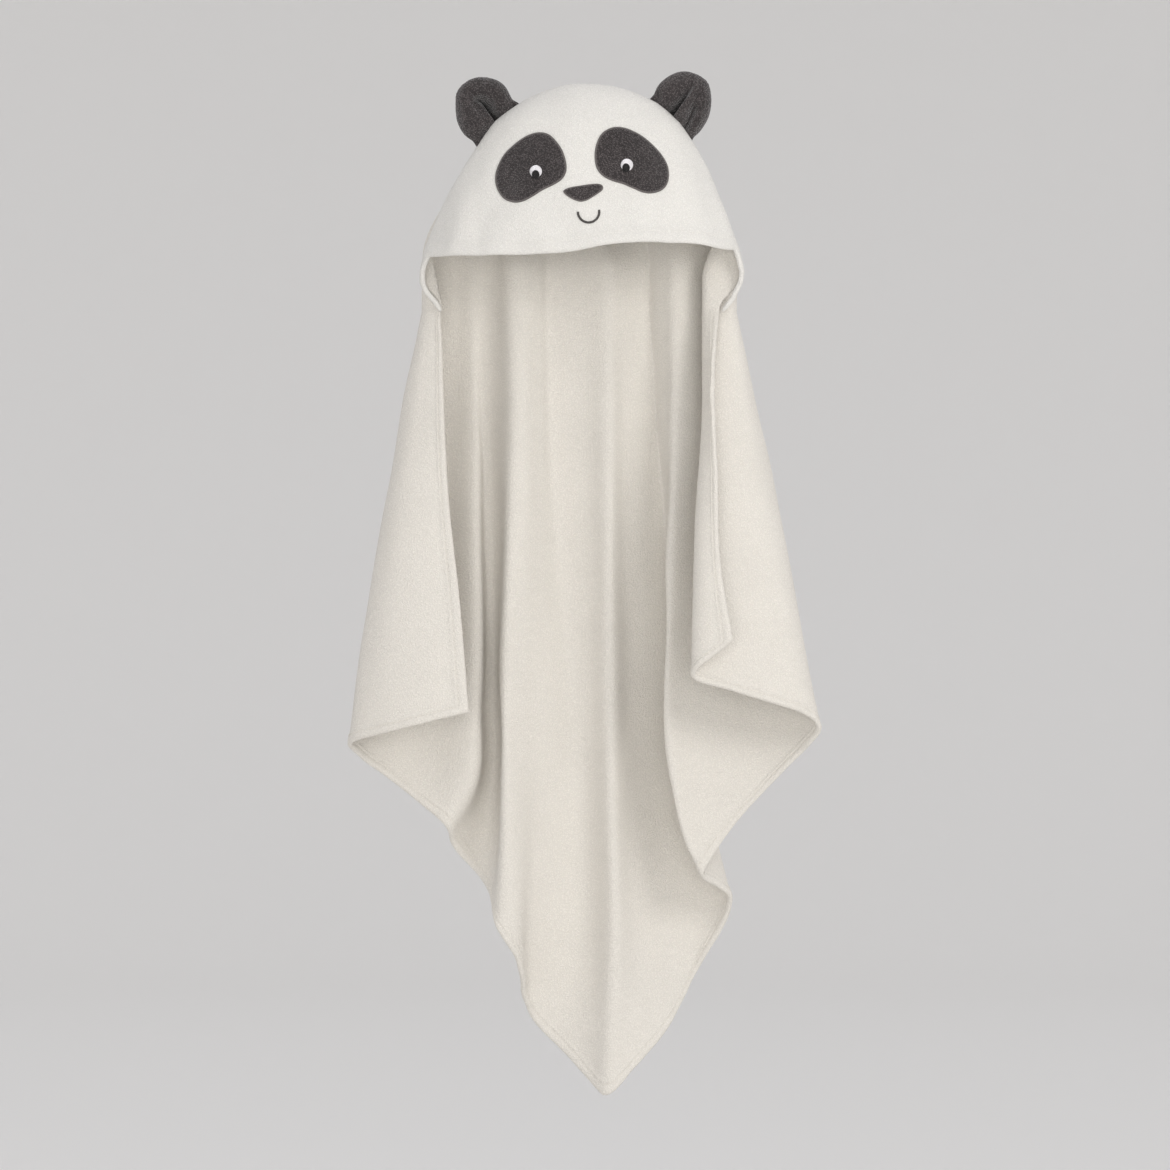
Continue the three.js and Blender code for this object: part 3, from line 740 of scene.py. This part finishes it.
# %% Sew along paths
def sew(name, paths, pitch, radius, material, across=False, looseness=0.06, seed=1):
    """Stitches along paths of (points, normals, half stitch length, closed), all in millimetres."""
    points, normals, reaches, edges = [], [], [], []
    start = 0
    for path, facing, reach, closed in paths:
        count = len(path)
        edges += [(start + i, start + i + 1) for i in range(count - 1)]
        edges += [(start + count - 1, start)] if closed else []
        points.append(path)
        normals.append(facing)
        reaches.append(np.broadcast_to(reach, count))
        start += count
    mesh = bpy.data.meshes.new(name + "_path")
    mesh.from_pydata([tuple(p) for p in place(np.concatenate(points))], edges, [])
    surface = mesh.attributes.new("surface", "FLOAT_VECTOR", "POINT")
    surface.data.foreach_set("vector", np.concatenate(normals).astype(np.float32).ravel())
    reach = mesh.attributes.new("reach", "FLOAT", "POINT")
    reach.data.foreach_set("value", (np.concatenate(reaches) * MM).astype(np.float32))
    holder = bpy.data.objects.new(name + "_path", mesh)
    bpy.context.scene.collection.objects.link(holder)
    modifier = holder.modifiers.new("sew", "NODES")
    modifier.node_group = SEW
    settings = {
        "Pitch": pitch * MM,
        "Thread radius": radius * MM,
        "Turn": math.pi / 2 if across else 0.0,
        "Looseness": looseness,
        "Seed": seed,
        "Thread": material,
    }
    for label, value in settings.items():
        modifier[SEW_INPUTS[label]] = value
    ready = holder.evaluated_get(bpy.context.evaluated_depsgraph_get())
    stitches = bpy.data.objects.new(name, bpy.data.meshes.new_from_object(ready))
    bpy.data.objects.remove(holder)
    bpy.context.scene.collection.objects.link(stitches)
    print(name, len(stitches.data.polygons), "faces")
    return stitches


def join(name, *things):
    """One piece from several meshes with the same material."""
    whole = bmesh.new()
    for thing in things:
        whole.from_mesh(thing.data)
    mesh = bpy.data.meshes.new(name)
    whole.to_mesh(mesh)
    whole.free()
    mesh.materials.append(things[0].data.materials[0])
    for thing in things:
        bpy.data.objects.remove(thing)
    piece = bpy.data.objects.new(name, mesh)
    bpy.context.scene.collection.objects.link(piece)
    return piece


# %% [markdown]
# ## Topstitching on the hems
# The hems are stitched where the cloth already dips, 7.6 mm from the towel's edge. The thread shows on both
# faces, so each line is sewn twice: once on the front and once on the back.

# %% Hem stitches
HEM_PITCH = 3.3
HEM_REACH = 1.35
HEM_THREAD = 0.34


def two_faces(points, normals, half):
    """The same line on the front and on the back of a sheet."""
    rise = (half + HEM_THREAD * 0.4)[:, None]
    front = (points + normals * rise, normals, HEM_REACH, False)
    back = (points - normals * rise, -normals, HEM_REACH, False)
    return [front, back]


towel_normals = grid_normals(towel_points)
towel_half = hem_relief(towel_edge, TERRY)
line = int(np.argmin(np.abs(HEM_STEPS - STITCH_LINE)))
neck_row = int(np.argmax(towel_down[:, 0] >= 1.01))
columns = towel_points.shape[1]
walk = [(row, line) for row in range(neck_row, len(towel_points) - 1 - line)]
walk += [(len(towel_points) - 1 - line, column) for column in range(line, columns - line)]
walk += [(row, columns - 1 - line) for row in range(len(towel_points) - 2 - line, neck_row - 1, -1)]
walk = tuple(np.array(walk).T)
towel_stitches = sew(
    "towel_hem_stitches",
    two_faces(towel_points[walk], towel_normals[walk], towel_half[walk]),
    HEM_PITCH, HEM_THREAD, hem_thread, seed=3,
)
hood_normals = grid_normals(hood_points)
hood_half = hem_relief(hood_edge, HOOD_CLOTH)
hood_line = (len(hood_points) - 1 - line, slice(1, -1))
hood_stitches = sew(
    "hood_hem_stitches",
    two_faces(hood_points[hood_line], hood_normals[hood_line], hood_half[hood_line]),
    HEM_PITCH, HEM_THREAD, white_hem_thread, seed=4,
)

# %% [markdown]
# ## The face
# Each part of the face lies on the hood: its outline is drawn flat, a little turned as the real one is, and
# every point is then carried straight back onto the hood's cloth. The eye patches and the nose are plush with
# a satin-stitched border, the eyes are satin stitch, and the mouth is a narrow satin-stitched arc.

# %% Onto the hood
FACE_CENTRE = np.array([-3.5, CROWN_Z - 86.5])
FACE_TURN = math.radians(4)
hood_corners = [v.co for v in hood.data.vertices]
hood_skin = BVHTree.FromPolygons(hood_corners, [tuple(p.vertices) for p in hood.data.polygons])


def on_face(flat):
    """Points across and up from between the eyes, carried onto the hood: places and outward directions."""
    flat = np.asarray(flat, float)
    turn = np.array([[math.cos(FACE_TURN), math.sin(FACE_TURN)], [-math.sin(FACE_TURN), math.cos(FACE_TURN)]])
    spots = (flat.reshape(-1, 2) @ turn + FACE_CENTRE) * MM
    places = np.zeros((len(spots), 3))
    facing = np.zeros((len(spots), 3))
    for i, (across, up) in enumerate(spots):
        hit, normal, _, _ = hood_skin.ray_cast(Vector((across, SEAM_Y - 0.4, up)), Vector((0, 1, 0)))
        places[i] = (hit.x, hit.y - SEAM_Y, hit.z)
        facing[i] = normal if normal.y < 0 else -normal
    places /= MM
    return places.reshape(*flat.shape[:-1], 3), facing.reshape(*flat.shape[:-1], 3)


def closed_curve(corners, count):
    """A smooth closed line through the corners, in equal steps."""
    corners = np.asarray(corners, float)
    at = np.arange(count * 4) * len(corners) / (count * 4)
    index = at.astype(int)
    t = (at - index)[:, None]
    a, b, c, d = (corners[(index + k) % len(corners)] for k in (-1, 0, 1, 2))
    fine = 0.5 * (2 * b + (c - a) * t + (2 * a - 5 * b + 4 * c - d) * t**2 + (3 * b - a - 3 * c + d) * t**3)
    loop = np.vstack([fine, fine[:1]])
    length = np.concatenate([[0], np.cumsum(np.linalg.norm(np.diff(loop, axis=0), axis=1))])
    steps = np.linspace(0, length[-1], count, endpoint=False)
    return np.stack([np.interp(steps, length, loop[:, k]) for k in range(loop.shape[1])], -1)


def inset(loop, amount):
    """The closed line moved inwards by amount, square to itself."""
    along = np.roll(loop, -1, axis=0) - np.roll(loop, 1, axis=0)
    along /= np.linalg.norm(along, axis=1, keepdims=True)
    side = np.stack([-along[:, 1], along[:, 0]], -1)
    area = np.sum(loop[:, 0] * np.roll(loop[:, 1], -1) - np.roll(loop[:, 0], -1) * loop[:, 1])
    return loop + side * amount * (1 if area > 0 else -1)


# %% Pieces that lie on the hood
def rounds(rings, closed_top, closed_bottom, material, name):
    """A closed body from rings of points, with one point at each end."""
    count = rings.shape[1]
    vertices = np.vstack([closed_top[None], rings.reshape(-1, 3), closed_bottom[None]])
    faces = []
    for k in range(count):
        after = (k + 1) % count
        faces.append((0, 1 + k, 1 + after))
        for ring in range(len(rings) - 1):
            first = 1 + ring * count
            faces.append((first + k, first + count + k, first + count + after, first + after))
        last = 1 + (len(rings) - 1) * count
        faces.append((last + k, len(vertices) - 1, last + after))
    body = new_object(name, place(vertices), faces, material)
    if sheet_volume(body) < 0:
        body.data.flip_normals()
    return body


def layer(name, loop, rise, thick, material, rings=26, crown=0.0, lumps=0.0):
    """A piece of cloth on the hood inside a closed line, its edge rounded, its middle raised by crown."""
    middle = loop.mean(axis=0)
    share = 1 - (1 - np.linspace(0, 1, rings)[1:]) ** 1.6
    flat = middle + (loop - middle)[None] * share[:, None, None]
    places, facing = on_face(flat)
    centre, outward = on_face(middle[None])
    depth = np.linalg.norm(loop - middle, axis=1).mean()
    from_edge = (1 - share) * depth
    dome = np.sqrt(np.clip(from_edge / thick, 0.0, 1) * (2 - np.clip(from_edge / thick, 0.0, 1)))
    height = rise + thick * (0.35 + 0.65 * dome) + crown * np.sqrt(1 - share**2)
    top = places + facing * height[:, None, None]
    if lumps:
        top = top + facing * (waviness(top, 5.0, lumps, 21.0) * dome[:, None])[..., None]
    bottom = places[::-1] + facing[::-1] * rise
    peak = centre[0] + outward[0] * (rise + thick + crown)
    return rounds(np.concatenate([top, bottom]), peak, centre[0] + outward[0] * rise, material, name)


def band(name, loop, rise, width, height, material, closed=True):
    """The padding under satin stitch: a low rounded band along a line on the hood."""
    along = np.gradient(loop, axis=0) if not closed else np.roll(loop, -1, axis=0) - np.roll(loop, 1, axis=0)
    along /= np.linalg.norm(along, axis=1, keepdims=True)
    side = np.stack([-along[:, 1], along[:, 0]], -1)
    arc = np.linspace(0, np.pi, 7)
    section = [(-np.cos(a) * width / 2, np.sin(a) * height) for a in arc]
    section += [(width * 0.25, 0), (-width * 0.25, 0)]
    strands = []
    for offset, lift in section:
        places, facing = on_face(loop + side * offset)
        strands.append(places + facing * (rise + lift))
    strands = np.array(strands).transpose(1, 0, 2)
    steps, sides = strands.shape[:2]
    faces = []
    for i in range(steps if closed else steps - 1):
        here = i * sides
        ahead = (i + 1) % steps * sides
        for k in range(sides):
            after = (k + 1) % sides
            faces.append((here + k, ahead + k, ahead + after, here + after))
    if not closed:
        faces += [tuple(range(sides))[::-1], tuple((steps - 1) * sides + k for k in range(sides))]
    body = new_object(name, place(strands.reshape(-1, 3)), faces, material)
    if sheet_volume(body) < 0:
        body.data.flip_normals()
    return body


def satin(name, loop, rise, width, material, closed=True, pitch=0.62, seed=1, height=0.7):
    """Satin stitch along a line on the hood: the padding and the stitches over it, as one piece."""
    padding = band(name + "_padding", loop, rise, width, height, material, closed)
    places, facing = on_face(loop)
    path = [(places + facing * (rise + height), facing, width * 0.56, closed)]
    return join(name, padding, sew(name + "_stitches", path, pitch, 0.42, material, True, 0.05, seed))


def filled(name, centre, radii, rise, material, seed):
    """A small disc filled with satin stitch, drawn as parallel stitches down its middle line."""
    angle = np.linspace(0, 2 * np.pi, 48, endpoint=False)
    loop = centre + np.stack([np.cos(angle) * radii[0], np.sin(angle) * radii[1]], -1)
    base = layer(name + "_padding", loop, rise, 0.55, material, rings=8, crown=0.35)
    down = np.linspace(-0.93, 0.93, 40)
    middle = centre + np.stack([0 * down, down * radii[1]], -1)
    places, facing = on_face(middle)
    reach = radii[0] * np.sqrt(1 - down**2) + 0.15
    lift = rise + 0.55 + 0.35 * np.sqrt(1 - down**2)
    path = [(places + facing * lift[:, None], facing, reach, False)]
    return join(name, base, sew(name + "_stitches", path, 0.55, 0.36, material, True, 0.03, seed))


# %% Eye patches, eyes, nose and mouth
PATCH_ACROSS = 50.0
PATCH_RISE = 7.3
LEFT_PATCH = [
    (-36.2, -11.8), (-33.4, 0), (-25.8, 12.8), (-14.4, 22.7), (-1.9, 29.9), (10.3, 32.4), (20.8, 29),
    (29.4, 18.3), (34, 7.3), (35.5, -4.8), (33.3, -12.7), (28.2, -18.3), (19.9, -22.4), (10.3, -26.2),
    (0.5, -31.6), (-9.1, -35.8), (-18.5, -36.5), (-28, -32.3), (-34.2, -23),
]
RIGHT_PATCH = [
    (-36.2, 3.9), (-33.8, 15.7), (-28, 26), (-18.9, 31.4), (-9.5, 32.1), (1, 28.7), (13.8, 20.5),
    (26.2, 7.6), (34, -5), (36.3, -15.9), (34.5, -26.4), (28.7, -33.6), (19.1, -36.7), (9.8, -35.7),
    (0.8, -31.4), (-9.5, -26), (-19.9, -22), (-28.9, -16.7), (-35, -8.2),
]
NOSE = [
    (-19.6, 0), (-16.8, 2.4), (-11.6, 3.8), (-2.2, 4.7), (8.6, 5.6), (16.5, 5.3), (19.9, 2.6),
    (19.2, -0.8), (15.6, -3.6), (10.3, -6.7), (3.4, -10.2), (-3.3, -11.2), (-9.8, -8.8), (-16.2, -4.4),
]
EYE_SPACING = 90.0
ON_HOOD = 0.05  # how far the lowest layer stands off the hood
PLUSH = 1.3
BORDER_INSET = 1.4
face_pieces = {}
SIDES = (
    ("left", -1, LEFT_PATCH, (-0.2, -3.6)),
    ("right", 1, RIGHT_PATCH, (-1.0, -3.3)),
)
for word, side, corners, look in SIDES:
    centre = np.array([side * PATCH_ACROSS, PATCH_RISE])
    loop = inset(closed_curve(centre + np.array(corners), 190), BORDER_INSET)
    face_pieces["eye_patch_" + word] = layer(
        "plush_patch_" + word, loop, ON_HOOD, PLUSH, charcoal_plush, rings=34, crown=0.3, lumps=0.25
    )
    face_pieces["eye_patch_border_" + word] = satin(
        "patch_border_" + word, loop, ON_HOOD, 2.8, grey_thread, pitch=0.66, seed=7
    )
    eye = np.array([side * EYE_SPACING / 2, 0])
    pupil = eye + np.array(look)
    face_pieces["eye_white_" + word] = filled("satin_eye_" + word, eye, (6.1, 6.1), 1.55, white_thread, 9)
    face_pieces["pupil_" + word] = filled("satin_pupil_" + word, pupil, (3.8, 4.3), 2.55, black_thread, 10)
nose_loop = closed_curve([np.array([x, y - 22.0]) for x, y in NOSE], 96)
face_pieces["nose"] = layer(
    "plush_nose", inset(nose_loop, 1.0), ON_HOOD, PLUSH, charcoal_plush, rings=16, crown=0.2, lumps=0.2
)
face_pieces["nose_border"] = satin(
    "nose_satin_border", inset(nose_loop, 0.9), ON_HOOD, 1.9, grey_thread, pitch=0.6, seed=8
)
mouth_angle = np.linspace(math.pi * 0.985, math.pi * 2.03, 60)
mouth_line = np.array([4, -44]) + 10.5 * np.stack([np.cos(mouth_angle), np.sin(mouth_angle)], -1)
face_pieces["mouth"] = satin(
    "satin_mouth", mouth_line, ON_HOOD, 2.3, mouth_thread, closed=False, pitch=0.6, seed=11, height=0.6
)
print(len(face_pieces), "face pieces")

# %% [markdown]
# ## The ears
# Each ear is a pad of plush, sewn round its edge and turned right side out, with wadding inside. The base is
# pleated before it goes into the seam, which draws a deep crease up the front. The left ear has one crease
# that opens into a hollow, and the right ear has a deep crease with a shallower one beside it.

# %% Ear outlines and creases: along the seam, and out from it, in millimetres
LEFT_EAR = [
    (-25, -5), (-28.7, 8.6), (-32.6, 20), (-32.4, 30), (-27.2, 40.8), (-18.6, 49.5), (-7.3, 53.6),
    (4.6, 52.6), (15.8, 43.9), (25.3, 32.5), (29.9, 20), (29.2, 9), (25.5, -5),
]
RIGHT_EAR = [
    (-24.5, -5), (-32, 8.4), (-35.3, 19), (-34, 32), (-29, 42.9), (-20.7, 49.8), (-9, 54.2),
    (1.1, 52.8), (13.1, 43.9), (22.5, 31.2), (26.7, 17), (26.9, 7), (24.5, -5),
]
# Each crease: its line, its depth, its width on the near and far side, and how far its lip leans over
LEFT_CREASES = [
    ([(0.5, -4), (-0.4, 5), (-2.4, 15.4), (-4.9, 26), (-4.6, 34)], 10.5, 2.0, 7.5, 3.2),
    ([(-3.6, 20), (-3.0, 30), (-4.5, 38)], 7.5, 8.0, 8.5, 0.0),
]
RIGHT_CREASES = [
    ([(-1.6, -4), (-2.4, 4), (-3.4, 12), (-5.0, 20), (-7.6, 30.2), (-10.7, 40)], 13.0, 2.4, 8.5, 4.2),
    ([(13.6, 6), (11.2, 14.7), (6.6, 25.5), (1.4, 35.2)], 6.5, 4.2, 4.2, 0.0),
]
EAR_FRONT = 10.5
EAR_BACK = 7.0


def crease(u, v, line, depth, near, far, overlap):
    """A fold along a line: its depth at each point, how far its lip leans over, and how much shade is painted
    into its colour inside.
    """
    line = np.array(line, float)
    best = np.full(u.shape, 1e9)
    side, along, across, up = (np.zeros(u.shape) for _ in range(4))
    for k, (start, end) in enumerate(zip(line[:-1], line[1:])):
        step = end - start
        t = np.clip(((u - start[0]) * step[0] + (v - start[1]) * step[1]) / (step @ step), 0, 1)
        du = u - start[0] - t * step[0]
        dv = v - start[1] - t * step[1]
        distance = np.hypot(du, dv)
        closer = distance < best
        best = np.where(closer, distance, best)
        side = np.where(closer, du * step[1] - dv * step[0], side)
        along = np.where(closer, (k + t) / (len(line) - 1), along)
        across = np.where(closer, du, across)
        up = np.where(closer, dv, up)
    fade = 1 - 0.8 * smooth(along, 0.55, 1.0)
    groove = np.exp(-((best / np.where(side > 0, near, far)) ** 1.5))
    lip = np.exp(-(((best - 2.0 * near) / (1.1 * near)) ** 2)) * (side > 0) * fade
    lean = -overlap * lip / np.maximum(best, 0.5)
    painted_shade_amount = depth / 13 * fade * np.exp(-((best / np.where(side > 0, 0.6 * near, 0.55 * far)) ** 2))
    return depth * (groove * fade - 0.18 * lip), lean * across, lean * up, painted_shade_amount


# %% Make an ear
EAR_RINGS = 54
EAR_ROUND = 200


def make_ear(name, corners, creases, base, outward, seed):
    loop = closed_curve(corners, EAR_ROUND)
    middle = np.array([-1.5, 24.0])
    share = np.sin(np.linspace(0, np.pi / 2, EAR_RINGS)[1:])
    flat = middle + (loop - middle)[None] * share[:, None, None]
    u, v = flat[..., 0], flat[..., 1]
    roundness = (1 - share[:, None] ** 2.6 + 0 * u) ** 0.55
    sewn_in = mix(0.2, 1.0, smooth(v, -3, 17))
    front = EAR_FRONT * roundness * sewn_in
    rear = EAR_BACK * roundness * sewn_in
    folded = [crease(u, v, *fold) for fold in creases]
    hollow, lean_u, lean_v, painted_shade_amount = (sum(fold[k] for fold in folded) for k in range(4))
    front = front - hollow * np.clip(roundness * 1.15, 0, 1) * mix(0.45, 1, smooth(v, -3, 8))
    gather = 0.9 * np.sin(u * 0.62 + seed) * np.exp(-((v / 8.0) ** 2))
    front = np.maximum(front + gather * roundness, 0.3 - rear)
    along_seam = math.copysign(1, outward[0]) * np.array([outward[1], -outward[0]])

    def lift(level, u, v):
        across = base[0] + along_seam[0] * u + outward[0] * v
        up = base[1] + along_seam[1] * u + outward[1] * v
        return np.stack([across, -level + 0 * u, up], -1)

    inside = np.clip(roundness * 1.3, 0, 1)
    front_points = lift(front, u + lean_u * inside, v + lean_v * inside)
    rear_points = lift(-rear, u, v)
    for points in (front_points, rear_points):
        bumps = waviness(points, 11.0, 0.9, seed) + waviness(points, 1.9, 0.42, seed + 3)
        points[..., 1] += bumps * np.minimum(roundness * 1.5, 1)
        rim_fluff = waviness(points, 1.7, 0.5, seed + 6) * (1 - roundness)
        points[..., 0] += outward[0] * rim_fluff
        points[..., 2] += outward[1] * rim_fluff
    rings = np.concatenate([front_points, rear_points[::-1][1:]])
    top = front_points[0].mean(axis=0)
    bottom = rear_points[0].mean(axis=0)
    ear = rounds(rings, top, bottom, ear_plush, name)
    # Painted shade: the plush's colour is multiplied down along each crease, darkest inside the fold,
    # standing in for the shade there.
    light = np.ones(len(ear.data.vertices))
    light[1 : 1 + painted_shade_amount.size] = 1 - 0.85 * np.clip(painted_shade_amount, 0, 1).ravel()
    light[0] = light[1 : 1 + EAR_ROUND].mean()
    painted_crease_shade = ear.data.attributes.new("painted_crease_shade", "FLOAT", "POINT")
    painted_crease_shade.data.foreach_set("value", light.astype(np.float32))
    print(name, len(ear.data.polygons), "faces")
    return ear


left_out = np.array([-0.7287, 0.685])
right_out = np.array([0.7145, 0.6996])
ear_left = make_ear("ear_pad_left", LEFT_EAR, LEFT_CREASES, (-86.5, -32.0), left_out, 1.0)
ear_right = make_ear("ear_pad_right", RIGHT_EAR, RIGHT_CREASES, (85.6, -29.0), right_out, 2.0)

# %% [markdown]
# ## The tape loop and the care label
# The loop is a short twill tape. It stands up behind the crown, goes over the peg, and turns flat where its
# two ends are stitched down. The label is a thin satin strip that hangs below it.


# %% A strip of tape along a path
def strip(name, path, width_axis, width, thick, material, columns=9):
    """A flat tape: path and width_axis hold a point and a direction for each step, in millimetres."""
    path = np.asarray(path, float)
    axis = np.asarray(width_axis, float)
    axis /= np.linalg.norm(axis, axis=1, keepdims=True)
    offsets = np.linspace(-width / 2, width / 2, columns)
    grid = path[:, None] + axis[:, None] * offsets[None, :, None]
    edge = width / 2 - np.abs(offsets)
    half = thick / 2 * np.sqrt(np.clip(edge / 0.8, 0.12, 1)) + np.zeros(grid.shape[:2])
    return two_faced(name, grid, half, material)


# %% The loop
PEG_BACK = -SEAM_Y / MM  # the middle of the loop is this far behind the seam plane
TAPE = 1.1
TAPE_WIDTH = 10.0
LOOP_RADIUS = 8.0 + TAPE / 2
LEG_TOP = -8.0
LEG_FOOT = -34.0
LEG_SPREAD = 9.5
leg = np.linspace(0, 1, 22)
arch = np.linspace(0, np.pi, 36)


def cloth_back(drop, across=0.0):
    """How far behind the seam the outer face of the towel is, this far below the crown."""
    width = float(outline(drop, 0.0))
    return BACK_DEPTH * width / HALF_WIDTH * math.sqrt(max(0.0, 1 - (across / width) ** 2)) + TERRY / 2


def loop_leg(side):
    """From the foot up to the arch: place and width direction."""
    places, axes = [], []
    for t in leg:
        foot = 1 - t
        z = mix(LEG_TOP, LEG_FOOT, foot)
        lie = cloth_back(CROWN_Z - z, 10.0) + 0.75
        y = mix(PEG_BACK, lie, float(smooth(foot, 0.0, 0.85)))
        twist = float(smooth(foot, 0.15, 0.8)) * math.pi / 2
        spread = mix(LOOP_RADIUS, LEG_SPREAD, float(smooth(foot, 0.1, 0.9)))
        places.append((side * spread, y, z))
        axes.append((side * math.sin(twist), math.cos(twist), 0))
    return places, axes


left_leg, left_axes = loop_leg(-1)
right_leg, right_axes = loop_leg(1)
over = [(-LOOP_RADIUS * math.cos(a), PEG_BACK, LEG_TOP + LOOP_RADIUS * math.sin(a)) for a in arch]
loop_path = left_leg + over[1:-1] + right_leg[::-1]
loop_axes = left_axes + [(0, 1, 0)] * (len(over) - 2) + right_axes[::-1]
hang_loop = strip("loop_tape", loop_path, loop_axes, TAPE_WIDTH, TAPE, cream_tape)
tack_paths = []
for side in (-1, 1):
    for height in (-30.5, -32.5):
        xs = np.linspace(side * LEG_SPREAD - 3.6, side * LEG_SPREAD + 3.6, 12)
        rear = np.array([(x, cloth_back(CROWN_Z - height, 10.0) + 0.75 + TAPE / 2 + 0.1, height) for x in xs])
        tack_paths.append((rear, np.tile((0, 1.0, 0), (12, 1)), 1.1, False))
loop_stitches = sew("loop_tacks", tack_paths, 0.8, 0.3, hem_thread, True, 0.08, 5)

# %% The label
LABEL_TOP = 44.0  # below the crown
LABEL_END = 78.0
LABEL_WIDTH = 22.0
label_rows = np.linspace(0, 1, 30)
label_path = []
for t in label_rows:
    drop = mix(LABEL_TOP, LABEL_END, t)
    curl = 2.4 * math.sin(t * math.pi * 0.9) * t
    label_path.append((0.6 * math.sin(t * 3), cloth_back(drop) + 0.9 + curl, CROWN_Z - drop))
label_axes = [(1, 0.02 * math.sin(t * 5), 0) for t in label_rows]
care_label = strip("satin_label", label_path, label_axes, LABEL_WIDTH, 0.5, label_satin, 17)
tack_drop = LABEL_TOP + 2.0
tack_xs = np.linspace(-9.5, 9.5, 14)
label_top = np.array([(x, cloth_back(tack_drop) + 1.35, CROWN_Z - tack_drop) for x in tack_xs])
label_paths = [(label_top, np.tile((0, 1.0, 0), (14, 1)), 1.0, False)]
label_stitches = sew("label_stitches", label_paths, 2.4, 0.25, white_thread, False, 0.05, 6)

# %% [markdown]
# ## Bodies and replaced parts
# The real ears bend at the seam; here each is baked into the frame where it was built and rides on no body.
# Everything else rides on the hanging cloth.

# %% Ride and replace
for piece, node, finish in (
    (towel, "towel_panel", "cream_terry"),
    (hood, "hood_panel", "white_terry"),
    (hang_loop, "hang_loop", "cream_tape"),
    (care_label, "care_label", "label_satin"),
):
    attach(piece, "body")
    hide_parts(node)
for piece, finish in (
    (towel_stitches, "cream_terry"),
    (hood_stitches, "white_terry"),
    (loop_stitches, "cream_tape"),
    (label_stitches, "white_thread"),
):
    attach(piece, "body")
for node, piece in face_pieces.items():
    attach(piece, "body")
    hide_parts(node)
for word, side, ear in (("left", -1, ear_left), ("right", 1, ear_right)):
    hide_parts("ear_front_" + word, "ear_back_" + word, "ear_wadding_" + word)
    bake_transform(ear)
